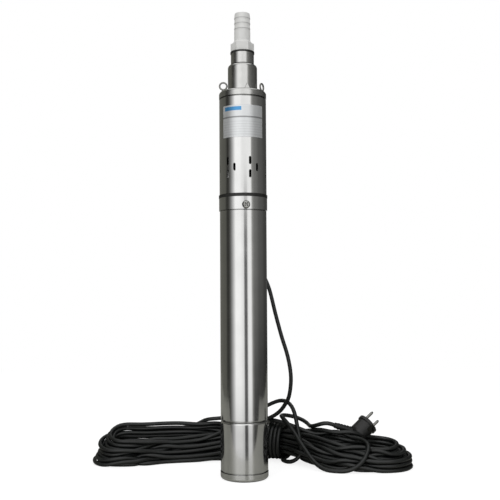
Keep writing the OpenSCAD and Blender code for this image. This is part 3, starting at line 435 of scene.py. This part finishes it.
def close_pairs(p, reach, skip):
    """Pairs of points of different strands that are within reach of each other."""
    found = []
    block_size = 500
    for start in range(0, len(p), block_size):
        block = p[start:start + block_size]
        gaps = ((block[:, None, :] - p[None, :, :]) ** 2).sum(axis=2)
        a, b = np.nonzero(gaps < reach ** 2)
        a = a + start
        keep = b - a > skip
        found.append(np.column_stack([a[keep], b[keep]]))
    found = np.vstack(found)
    return found[:, 0], found[:, 1]


def cable_route(cable, gland_end, gland_way, sleeve_end, sleeve_way):
    """The whole cable as one line: hanging stretch, hank, loose loop, wraps, front loop and lead."""
    hank = HankFrame()
    turns, waist, waist_z, bundle_r = hank_turns(cable, hank)
    wraps = waist_wraps(cable, hank, waist, waist_z, bundle_r)
    start = [gland_end, gland_end + STRAIGHT * gland_way, *HANG_ROUTE]
    lead = [sleeve_end + STRAIGHT * sleeve_way, sleeve_end]
    line = smooth_curve([*start, *turns, *LOOSE_LOOP, *wraps, *FRONT_LOOP, *lead], SPACING)
    # The hanging stretch and the plug's end stay where they are
    held = np.zeros(len(line), bool)
    held[:len(smooth_curve(start, SPACING)) - LOOSE_POINTS] = True
    held[-LEAD_POINTS:] = True
    line = settle(line, held, cable)
    return line


def tube_curve(name, line, diameter, material):
    """A round cord along a line of points, as one open spline."""
    curve = bpy.data.curves.new(name, "CURVE")
    curve.dimensions = "3D"
    curve.bevel_depth = diameter / 2
    curve.bevel_resolution = 3
    curve.use_fill_caps = True
    spline = curve.splines.new("POLY")
    spline.points.add(len(line) - 1)
    spline.points.foreach_set("co", np.column_stack([line, np.ones(len(line))]).ravel())
    spline.use_smooth = True
    piece = bpy.data.objects.new(name, curve)
    bpy.context.collection.objects.link(piece)
    curve.materials.append(material)
    return piece


def sleeve_exit(sleeve, root):
    """Far end of a tapered sleeve and the way it points, away from the node that it is rooted in."""
    places = np.array([v.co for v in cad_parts[sleeve].data.vertices])
    middle = places.mean(axis=0)
    way = np.linalg.svd(places - middle, full_matrices=False)[2][0]
    if way @ (middle - np.mean(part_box(root), axis=0)) < 0:
        way = -way
    return middle + way * ((places - middle) @ way).max(), way


def make_cable(cable, finish):
    """The cable as one cord between the gland and the plug, in place of the CAD's cable solids."""
    gland_end, gland_way = sleeve_exit("gland_sleeve", "gland_body")
    sleeve_end, sleeve_way = sleeve_exit("plug_sleeve", "plug_body")
    line = cable_route(cable, gland_end, gland_way, sleeve_end, sleeve_way)
    piece = tube_curve("mains_cable", line, cable.diameter, rubber_sheath(finish.sheath))
    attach(piece, ROOT)
    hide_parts("power_cable", "cable_hank", "plug_lead")


# Materials

EVEN = (1, 1, 1)
# Stretches a pattern into rings round the upright axis
ROUND = (0.04, 0.04, 1)
# Stretches a pattern upwards
UPRIGHT = (1, 1, 0.25)
# Part of a noise pattern's range that is used
PATTERN_LOW, PATTERN_HIGH = 0.3, 0.7
# Painted shade in grooves and corners: how far away another surface counts, how open a place is where the
# painted shade is darkest and where it ends, and how dark it is
PAINTED_SHADE_REACH = 2.5 * MM
PAINTED_SHADE_FROM, PAINTED_SHADE_TO = 0.3, 0.85
PAINTED_SHADE_DARKNESS = 0.12


def add_node(tree, kind, inputs=None, **settings):
    """Adds a node, sets its settings, and sets or links its inputs."""
    node = tree.nodes.new(kind)
    for name, value in settings.items():
        setattr(node, name, value)
    for name, value in (inputs or {}).items():
        if isinstance(value, bpy.types.NodeSocket):
            tree.links.new(value, node.inputs[name])
        else:
            node.inputs[name].default_value = value
    return node


def shade(colour, factor):
    """A colour made darker or lighter."""
    return (*[min(1.0, channel * factor) for channel in colour], 1.0)


def patterned(name, dark, pale, tone, rough, relief, **values):
    """A material whose colour and roughness follow one pattern, and whose relief follows a finer one.

    tone is a size in metres and a stretch; relief is a size, a stretch and a height in metres."""
    material = bpy.data.materials.new(name)
    material.use_nodes = True
    tree = material.node_tree
    shader = tree.nodes["Principled BSDF"]
    for socket, value in values.items():
        shader.inputs[socket.replace("_", " ")].default_value = value
    place = add_node(tree, "ShaderNodeTexCoord").outputs["Object"]
    patterns = []
    for size, stretch in (tone, relief[:2]):
        scaled = add_node(tree, "ShaderNodeMapping", {"Vector": place, "Scale": stretch}).outputs["Vector"]
        noise = add_node(tree, "ShaderNodeTexNoise", {"Vector": scaled, "Scale": 1 / size, "Detail": 4.0})
        patterns.append(noise.outputs["Fac"])
    share = add_node(tree, "ShaderNodeMapRange", {
        "Value": patterns[0], "From Min": PATTERN_LOW, "From Max": PATTERN_HIGH}).outputs["Result"]
    mix = add_node(tree, "ShaderNodeMix", {0: share, 6: dark, 7: pale}, data_type="RGBA")
    # Painted shade darkens grooves and corners, wherever the ambient occlusion finds them closed in
    openness = add_node(tree, "ShaderNodeAmbientOcclusion", {"Distance": PAINTED_SHADE_REACH}, samples=8)
    unshaded = add_node(tree, "ShaderNodeMapRange", {
        "Value": openness.outputs["AO"], "From Min": PAINTED_SHADE_FROM, "From Max": PAINTED_SHADE_TO}).outputs["Result"]
    mix = add_node(tree, "ShaderNodeMix", {
        0: unshaded, 6: shade(dark[:3], PAINTED_SHADE_DARKNESS), 7: mix.outputs[2]}, data_type="RGBA")
    sheen = add_node(tree, "ShaderNodeMapRange", {"Value": share, "To Min": rough[0], "To Max": rough[1]})
    bump = add_node(tree, "ShaderNodeBump", {"Height": patterns[1], "Distance": relief[2], "Strength": 0.5})
    tree.links.new(mix.outputs[2], shader.inputs["Base Color"])
    tree.links.new(sheen.outputs["Result"], shader.inputs["Roughness"])
    tree.links.new(bump.outputs["Normal"], shader.inputs["Normal"])
    return material


def polished_stainless(colour):
    """Stainless tube polished with a belt: mirror stripes with fine rings round it and faint hand marks."""
    return patterned("polished_stainless_steel", shade(colour, 0.95), shade(colour, 1.03), (28 * MM, EVEN),
                     (0.09, 0.14), (1.6 * MM, ROUND, 0.0025 * MM), Metallic=1.0)


def turned_stainless(colour):
    """Cast stainless turned on a lathe: soft reflections and fine turning rings."""
    return patterned("turned_stainless_steel", shade(colour, 0.92), shade(colour, 1.04), (14 * MM, EVEN),
                     (0.18, 0.26), (0.9 * MM, ROUND, 0.012 * MM), Metallic=1.0)


def drawn_steel(name, colour, low=0.16, high=0.3):
    """Drawn or ground steel: bright, with a little wear."""
    return patterned(name, shade(colour, 0.85), shade(colour, 1.05), (3 * MM, EVEN),
                     (low, high), (1.2 * MM, EVEN, 0.008 * MM), Metallic=1.0)


def moulded_rubber(colour):
    """Moulded black rubber: dull, with a soft bloom and a fine grain."""
    return patterned("moulded_black_rubber", shade(colour, 0.8), shade(colour, 1.5), (9 * MM, EVEN),
                     (0.42, 0.6), (0.7 * MM, EVEN, 0.03 * MM), IOR=1.52)


def rubber_sheath(colour):
    """Extruded rubber sheath: satin black with a little dust and a fine matt grain."""
    return patterned("extruded_rubber_sheath", shade(colour, 0.85), shade(colour, 1.4), (22 * MM, EVEN),
                     (0.36, 0.5), (0.9 * MM, EVEN, 0.03 * MM), IOR=1.52)


def moulded_plastic(colour):
    """Moulded black plastic: an even spark-eroded grain with a soft sheen."""
    return patterned("moulded_black_plastic", shade(colour, 0.85), shade(colour, 1.3), (12 * MM, EVEN),
                     (0.36, 0.48), (0.6 * MM, EVEN, 0.04 * MM), IOR=1.49)


def white_polypropylene(colour):
    """Moulded white polypropylene: milky, with a soft gloss and faint flow marks."""
    return patterned("moulded_white_polypropylene", shade(colour, 0.95), shade(colour, 1.02),
                     (10 * MM, UPRIGHT), (0.34, 0.46), (0.8 * MM, EVEN, 0.02 * MM), IOR=1.49,
                     Subsurface_Weight=0.15, Subsurface_Radius=(1.5 * MM, 1.5 * MM, 1.4 * MM))


def wound_copper():
    """Enamelled copper wire: amber lines across the winding."""
    return patterned("enamelled_copper_wire", (*linear("#6E3A1B"), 1), (*linear("#B4703A"), 1),
                     (1 * MM, UPRIGHT), (0.28, 0.36), (1 * MM, UPRIGHT, 0.2 * MM), Metallic=0.7)


def stacked_laminations():
    """Stacked electrical sheet: dark grey steel with fine lines between the sheets."""
    return patterned("stacked_electrical_sheet", (*linear("#3C3D40"), 1), (*linear("#77787A"), 1),
                     (1.2 * MM, ROUND), (0.38, 0.46), (1.2 * MM, ROUND, 0.08 * MM), Metallic=0.9)


def cast_aluminium():
    """Die-cast aluminium: pale grey with a pebbled skin."""
    return patterned("die_cast_aluminium", (*linear("#8F9193"), 1), (*linear("#B9BBBC"), 1), (1.5 * MM, EVEN),
                     (0.35, 0.5), (1.5 * MM, EVEN, 0.06 * MM), Metallic=1.0)


def lapped_face(name, low, high, roughness):
    """Pressed and lapped seal ring: an even fine-grained face."""
    return patterned(name, (*linear(low), 1), (*linear(high), 1), (2 * MM, EVEN),
                     (roughness, 1.2 * roughness), (0.5 * MM, EVEN, 0.002 * MM), IOR=1.6)


# Printed rules of the label: height and thickness in shares of the plate's height, and darkness
FINE_RULES = [(height, 0.02, 0.86) for height in (0.07, 0.15, 0.23, 0.31, 0.39, 0.47)]
HEAVY_RULE = (0.6, 0.045, 0.45)
BAR_BOTTOM, BAR_TOP = 0.83, 0.95
BAR_LEFT, BAR_RIGHT = -28 * MM, -2 * MM


def label_foil(colour, bar_colour):
    """Satin foil label: a pale plate with plain grey rules and one plain blue bar."""
    material = patterned("printed_foil_label", shade(colour, 0.97), shade(colour, 1.02), (9 * MM, UPRIGHT),
                         (0.3, 0.4), (0.6 * MM, UPRIGHT, 0.004 * MM), Metallic=0.6)
    tree = material.node_tree
    shader = tree.nodes["Principled BSDF"]
    plain = shader.inputs["Base Color"].links[0].from_socket
    low, high = (corner[2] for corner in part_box("bare_plate"))
    place = add_node(tree, "ShaderNodeTexCoord").outputs["Object"]
    axes = add_node(tree, "ShaderNodeSeparateXYZ", {"Vector": place}).outputs
    height = add_node(tree, "ShaderNodeMapRange", {"Value": axes["Z"], "From Min": low, "From Max": high})
    rules = add_node(tree, "ShaderNodeValToRGB", {"Fac": height.outputs["Result"]})
    rules.color_ramp.interpolation = "CONSTANT"
    rules.color_ramp.elements.remove(rules.color_ramp.elements[1])
    rules.color_ramp.elements[0].color = (1, 1, 1, 1)
    for start, thickness, darkness in [*FINE_RULES, HEAVY_RULE]:
        rules.color_ramp.elements.new(start).color = (darkness, darkness, darkness, 1)
        rules.color_ramp.elements.new(start + thickness).color = (1, 1, 1, 1)
    ruled = add_node(tree, "ShaderNodeMix", {0: 1.0, 6: plain, 7: rules.outputs["Color"]}, data_type="RGBA",
                     blend_type="MULTIPLY")
    across = add_node(tree, "ShaderNodeMath", {
        0: axes["X"], 1: (BAR_LEFT + BAR_RIGHT) / 2, 2: (BAR_RIGHT - BAR_LEFT) / 2}, operation="COMPARE")
    upwards = add_node(tree, "ShaderNodeMath", {
        0: height.outputs["Result"], 1: (BAR_BOTTOM + BAR_TOP) / 2, 2: (BAR_TOP - BAR_BOTTOM) / 2},
        operation="COMPARE")
    bar = add_node(tree, "ShaderNodeMath", {
        0: across.outputs[0], 1: upwards.outputs[0]}, operation="MULTIPLY")
    printed = add_node(tree, "ShaderNodeMix", {
        0: bar.outputs[0], 6: ruled.outputs[2], 7: shade(bar_colour, 1)}, data_type="RGBA")
    tree.links.new(printed.outputs[2], shader.inputs["Base Color"])
    return material


def dress(material, *nodes):
    """Gives CAD nodes a material."""
    for name in nodes:
        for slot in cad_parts[name].material_slots:
            slot.material = material


def dress_steel(finish):
    """Polished, turned, drawn and ground metal pieces."""
    dress(polished_stainless(finish.steel), "foot_cap", "capacitor_can", "motor_tube", "motor_flange",
          "pump_casing", "stator_sleeve")
    dress(turned_stainless(finish.cast_steel), "discharge_head", "lower_bracket")
    dress(drawn_steel("bright_drawn_steel", finish.bright_steel), "oil_filler_screw", "seal_spring",
          "coupling_pin")
    dress(drawn_steel("bent_steel_wire", finish.wire), "lifting_eyes")
    dress(drawn_steel("ground_shaft_steel", finish.steel), "motor_shaft", "screw_rotor")
    dress(drawn_steel("dull_wetted_steel", finish.tarnish, 0.4, 0.55), "flexible_shaft", "shaft_coupling")
    dress(drawn_steel("ground_bearing_steel", finish.bright_steel, 0.08, 0.2), "lower_bearing_outer",
          "upper_bearing_outer", "lower_bearing_inner", "upper_bearing_inner", "lower_bearing_balls",
          "upper_bearing_balls")
    dress(drawn_steel("nickel_plated_brass", finish.wire, 0.12, 0.24), "plug_pins")
    dress(drawn_steel("tarnished_spring_brass", finish.tarnish, 0.35, 0.5), "plug_earth_clips")


def dress_rubber(finish):
    """Sealing rings, the pump's rubber and the cable's sleeves."""
    dress(moulded_rubber(finish.rubber), "foot_o_ring", "bracket_o_rings", "flange_o_rings",
          "oil_filler_washer", "casing_ring", "stator_rubber", "head_o_ring", "outlet_gasket", "sand_slinger")
    dress(rubber_sheath(finish.sheath), "gland_sleeve", "plug_sleeve")


def dress_plastic(finish):
    """Plug, cable gland and hose tail."""
    dress(moulded_plastic(finish.plug), "plug_body", "gland_body", "gland_nut")
    dress(white_polypropylene(finish.polypropylene), "hose_barb")


def dress_inside():
    """Winding, laminations, castings and seal faces."""
    dress(wound_copper(), "stator_windings")
    dress(stacked_laminations(), "stator_core", "rotor_core")
    dress(cast_aluminium(), "rotor_end_rings", "capacitor")
    dress(lapped_face("lapped_white_ceramic", "#D9D6CC", "#ECEAE2", 0.25), "seal_seat")
    dress(lapped_face("lapped_carbon", "#1B1B1C", "#333335", 0.35), "seal_head")


# Stage

def make_world():
    """White all round for the camera and for reflections, and a plain soft light for the rest."""
    world = bpy.data.worlds.new("white_studio")
    bpy.context.scene.world = world
    world.use_nodes = True
    tree = world.node_tree
    tree.nodes.clear()
    seen = add_node(tree, "ShaderNodeBackground", {"Color": (1, 1, 1, 1), "Strength": 1.0}).outputs[0]
    soft = add_node(tree, "ShaderNodeBackground", {"Color": (1, 1, 1, 1), "Strength": 0.55}).outputs[0]
    path = add_node(tree, "ShaderNodeLightPath").outputs
    direct = add_node(tree, "ShaderNodeMath", {
        0: path["Is Camera Ray"], 1: path["Is Glossy Ray"]}, operation="MAXIMUM").outputs[0]
    white = add_node(tree, "ShaderNodeMath", {0: direct, 1: path["Is Transmission Ray"]}, operation="MAXIMUM")
    shown = add_node(tree, "ShaderNodeMixShader", {0: white.outputs[0], 1: soft, 2: seen}).outputs[0]
    add_node(tree, "ShaderNodeOutputWorld", {"Surface": shown})


def white_table():
    """Table: shown white to the camera with a faint shadow left on it, and a smooth grey top to the rest."""
    material = bpy.data.materials.new("white_studio_table")
    material.use_nodes = True
    tree = material.node_tree
    tree.nodes.clear()
    paper = add_node(tree, "ShaderNodeBsdfDiffuse", {"Color": (0.3, 0.3, 0.3, 1)}).outputs[0]
    glow = add_node(tree, "ShaderNodeEmission", {"Color": (1, 1, 1, 1), "Strength": 0.82}).outputs[0]
    seen = add_node(tree, "ShaderNodeAddShader", {0: paper, 1: glow}).outputs[0]
    top = add_node(tree, "ShaderNodeBsdfPrincipled", {
        "Base Color": (*linear("#B4B4AC"), 1), "Roughness": 0.15}).outputs[0]
    path = add_node(tree, "ShaderNodeLightPath")
    shown = add_node(tree, "ShaderNodeMixShader", {
        0: path.outputs["Is Camera Ray"], 1: top, 2: seen}).outputs[0]
    add_node(tree, "ShaderNodeOutputMaterial", {"Surface": shown})
    return material


# What the polished tubes mirror: angle from the camera's side, positive to the right, brightness and tint
STUDIO_WALL = [
    (-180, 0.2, "#FFFFF4"), (-131, 0.15, "#FFFFF0"), (-95, 0.13, "#FFFFF0"), (-85, 0.045, "#FFFFF4"),
    (-76, 0.05, "#FFFFF4"), (-67, 0.13, "#FFFFFB"), (-57, 0.42, "#FFFFFF"), (-47, 0.85, "#FFFFFF"),
    (-38, 1.4, "#FFFFFF"), (-14, 1.38, "#FFFFFF"), (-4, 1.2, "#FFFFFF"), (36, 1.28, "#FFFFFF"),
    (44, 0.4, "#FFFFFB"), (54, 0.24, "#FFFFFB"), (68, 0.2, "#FFFFFB"), (80, 0.14, "#FFFFFB"),
    (106, 0.11, "#FFFFFB"), (124, 0.07, "#FFFFFB"), (160, 0.07, "#FFFFFB"), (172, 0.25, "#FFFFFF"),
    (178, 0.9, "#FFFFFF"), (180, 1.0, "#FFFFFF")]
WALL_RADIUS = 2.2
# Heights of the wall's rows; light of a row, how strongly the dark band shows, and the right side's light
WALL_ROWS = [
    (-0.9, 0.55, 1.0, 0.4), (-0.36, 0.62, 1.0, 0.4), (-0.15, 0.97, 1.0, 0.4), (0.2, 1.0, 1.0, 0.85),
    (0.45, 1.0, 0.95, 1.0), (0.6, 1.0, 0.8, 1.0), (0.7, 1.0, 0.4, 1.0), (0.85, 1.0, 0.0, 1.0),
    (3.5, 1.0, 0.0, 1.0)]
# The dark band on the wall, in degrees, with its soft edges and its light
DARK_FROM, DARK_TO = 5, 17
DARK_SOFT = 4
DARK_LEVEL = 0.12
# Where the right side's own light begins and is full, in degrees
RIGHT_FROM, RIGHT_TO = 40, 54
# Width of one face of the wall, in degrees
WALL_STEP = 2
TABLE_EDGES = {"left": -0.9, "right": 0.9, "front": -0.2, "back": 1.6}
GROUND_EDGES = {"left": -3, "right": 3, "front": -3, "back": 3}
GROUND_HEIGHT = -0.9
# Soft boxes face no higher than this
AIM_HEIGHT = 0.4


def wall_colour(angle, light, dark, right):
    """Light of the studio wall at an angle, in a row with these shares of light, dark and right side."""
    angles, levels, tints = zip(*STUDIO_WALL)
    level = light * np.interp(angle, angles, levels)
    tint = [np.interp(angle, angles, channel) for channel in zip(*[linear(tint) for tint in tints])]
    inside = np.interp(angle, (DARK_FROM - DARK_SOFT, DARK_FROM, DARK_TO, DARK_TO + DARK_SOFT), (0, 1, 1, 0))
    level *= 1 - dark * inside * (1 - DARK_LEVEL)
    level *= np.interp(angle, (RIGHT_FROM, RIGHT_TO), (1, right))
    return (*[level * channel for channel in tint], 1.0)


def make_wall():
    """Round wall that only reflections see: pale in front, grey at the sides, soft between."""
    angles = range(-180, 181, WALL_STEP)
    corners, colours, faces = [], [], []
    for height, *shares in WALL_ROWS:
        for angle in angles:
            turn = math.radians(angle)
            corners.append((WALL_RADIUS * math.sin(turn), -WALL_RADIUS * math.cos(turn), height))
            colours.append(wall_colour(angle, *shares))
    row = len(angles)
    for start in range(0, row * (len(WALL_ROWS) - 1), row):
        faces += [(i, i + 1, i + 1 + row, i + row) for i in range(start, start + row - 1)]
    mesh = bpy.data.meshes.new("studio_wall")
    mesh.from_pydata(corners, [], faces)
    glow = mesh.color_attributes.new("glow", "FLOAT_COLOR", "POINT")
    glow.data.foreach_set("color", np.array(colours).ravel())
    material = bpy.data.materials.new("studio_wall_light")
    material.use_nodes = True
    tree = material.node_tree
    tree.nodes.clear()
    colour = add_node(tree, "ShaderNodeAttribute", attribute_name="glow").outputs["Color"]
    light = add_node(tree, "ShaderNodeEmission", {"Color": colour}).outputs[0]
    add_node(tree, "ShaderNodeOutputMaterial", {"Surface": light})
    reflections_only(stage_piece("studio_wall", mesh, material))


def dark_ground():
    """Material of the dark floor that shows past the table's edges in reflections."""
    material = bpy.data.materials.new("dark_ground")
    material.use_nodes = True
    tree = material.node_tree
    tree.nodes.clear()
    light = add_node(tree, "ShaderNodeEmission", {"Color": (*linear("#6B6A63"), 1)}).outputs[0]
    add_node(tree, "ShaderNodeOutputMaterial", {"Surface": light})
    return material


def stage_piece(name, mesh, material):
    """A piece of the stage, which is no part of the pump."""
    mesh.materials.append(material)
    piece = bpy.data.objects.new(name, mesh)
    bpy.context.collection.objects.link(piece)
    return piece


def reflections_only(piece):
    """Hides a stage piece from everything but reflections."""
    piece.visible_camera = False
    piece.visible_diffuse = False
    piece.visible_shadow = False
    piece.visible_transmission = False


def flat_sheet(name, left, right, front, back, height, material):
    """A flat sheet of the stage."""
    mesh = bpy.data.meshes.new(name)
    corners = [(left, front, height), (right, front, height), (right, back, height), (left, back, height)]
    mesh.from_pydata(corners, [], [(0, 1, 2, 3)])
    return stage_piece(name, mesh, material)


def soft_box(name, angle, distance, height, width, tall, power):
    """Area lamp that faces the pump; angle is from the camera's side, positive to the right."""
    data = bpy.data.lights.new(name, "AREA")
    data.shape = "RECTANGLE"
    data.size = width
    data.size_y = tall
    data.energy = power
    lamp = bpy.data.objects.new(name, data)
    bpy.context.collection.objects.link(lamp)
    turn = math.radians(angle)
    place = Vector((distance * math.sin(turn), -distance * math.cos(turn), height))
    aim = Vector((0, 0, min(height, AIM_HEIGHT)))
    facing = (aim - place).to_track_quat("-Z", "Y").to_matrix().to_4x4()
    lamp.matrix_world = Matrix.Translation(place) @ facing
    # The wall stands in for the lamps in reflections
    lamp.visible_glossy = False


def make_stage(settings):
    """White surroundings, table, mirrored wall and ground, and three soft boxes."""
    bpy.context.scene.view_settings.view_transform = "Standard"
    make_world()
    flat_sheet("studio_table", **TABLE_EDGES, height=0, material=white_table())
    ground = flat_sheet("studio_ground", **GROUND_EDGES, height=GROUND_HEIGHT, material=dark_ground())
    reflections_only(ground)
    make_wall()
    soft_box("key_soft_box", angle=-30, distance=1.9, height=0.9, width=1.3, tall=2.0,
             power=settings.key_power)
    soft_box("fill_soft_box", angle=28, distance=1.9, height=0.9, width=0.5, tall=2.0,
             power=settings.fill_power)
    soft_box("top_soft_box", angle=0, distance=0.3, height=2.4, width=2.0, tall=2.0,
             power=settings.top_power)


class PUMP_OT_camera(bpy.types.Operator):
    """Places the camera at the height and angle of a product picture"""
    bl_idname = "pump.camera"
    bl_label = "Camera"

    def execute(self, context):
        make_camera(context.scene.pump_stage)
        return {"FINISHED"}


class PUMP_OT_cable(bpy.types.Operator):
    """Lays the power cable from its gland through its hank to the plug"""
    bl_idname = "pump.cable"
    bl_label = "Power cable"

    def execute(self, context):
        make_cable(context.scene.pump_cable, context.scene.pump_finish)
        return {"FINISHED"}


class PUMP_OT_steel(bpy.types.Operator):
    """Finishes the steel and brass pieces"""
    bl_idname = "pump.steel"
    bl_label = "Metal pieces"

    def execute(self, context):
        dress_steel(context.scene.pump_finish)
        return {"FINISHED"}


class PUMP_OT_rubber(bpy.types.Operator):
    """Finishes the rubber rings and sleeves"""
    bl_idname = "pump.rubber"
    bl_label = "Rubber pieces"

    def execute(self, context):
        dress_rubber(context.scene.pump_finish)
        return {"FINISHED"}


class PUMP_OT_plastic(bpy.types.Operator):
    """Finishes the plug, the gland and the hose tail"""
    bl_idname = "pump.plastic"
    bl_label = "Plastic pieces"

    def execute(self, context):
        dress_plastic(context.scene.pump_finish)
        return {"FINISHED"}


class PUMP_OT_label(bpy.types.Operator):
    """Finishes the bare label plate"""
    bl_idname = "pump.label"
    bl_label = "Label plate"

    def execute(self, context):
        finish = context.scene.pump_finish
        dress(label_foil(finish.foil, finish.bar), "bare_plate")
        return {"FINISHED"}


class PUMP_OT_inside(bpy.types.Operator):
    """Finishes the pieces inside the motor and the shaft seal"""
    bl_idname = "pump.inside"
    bl_label = "Inner pieces"

    def execute(self, context):
        dress_inside()
        return {"FINISHED"}


class PUMP_OT_stage(bpy.types.Operator):
    """Sets up the table, the white surroundings, the mirrored wall and the soft boxes"""
    bl_idname = "pump.stage"
    bl_label = "Stage"

    def execute(self, context):
        make_stage(context.scene.pump_stage)
        return {"FINISHED"}


OPERATORS = [PUMP_OT_camera, PUMP_OT_cable, PUMP_OT_steel, PUMP_OT_rubber, PUMP_OT_plastic, PUMP_OT_label,
             PUMP_OT_inside, PUMP_OT_stage]


class PUMP_PT_panel(bpy.types.Panel):
    """Lists the steps that dress the pump"""
    bl_idname = "PUMP_PT_panel"
    bl_label = "Borehole pump"
    bl_space_type = "VIEW_3D"
    bl_region_type = "UI"
    bl_category = "Pump"

    def draw(self, context):
        for settings in (context.scene.pump_cable, context.scene.pump_finish, context.scene.pump_stage):
            for name in settings.__annotations__:
                self.layout.prop(settings, name)
        for operator in OPERATORS:
            self.layout.operator(operator.bl_idname)


SETTINGS = {
    "pump_cable": PumpCableSettings,
    "pump_finish": PumpFinishSettings,
    "pump_stage": PumpStageSettings,
}


def register():
    for settings in SETTINGS.values():
        bpy.utils.register_class(settings)
    for name, settings in SETTINGS.items():
        setattr(bpy.types.Scene, name, bpy.props.PointerProperty(type=settings))
    for operator in OPERATORS:
        bpy.utils.register_class(operator)
    bpy.utils.register_class(PUMP_PT_panel)


def unregister():
    bpy.utils.unregister_class(PUMP_PT_panel)
    for operator in reversed(OPERATORS):
        bpy.utils.unregister_class(operator)
    for name, settings in SETTINGS.items():
        delattr(bpy.types.Scene, name)
        bpy.utils.unregister_class(settings)


def main():
    register()
    bpy.ops.pump.camera()
    bpy.ops.pump.cable()
    bpy.ops.pump.steel()
    bpy.ops.pump.rubber()
    bpy.ops.pump.plastic()
    bpy.ops.pump.label()
    bpy.ops.pump.inside()
    bpy.ops.pump.stage()


if __name__ == "__main__":
    main()
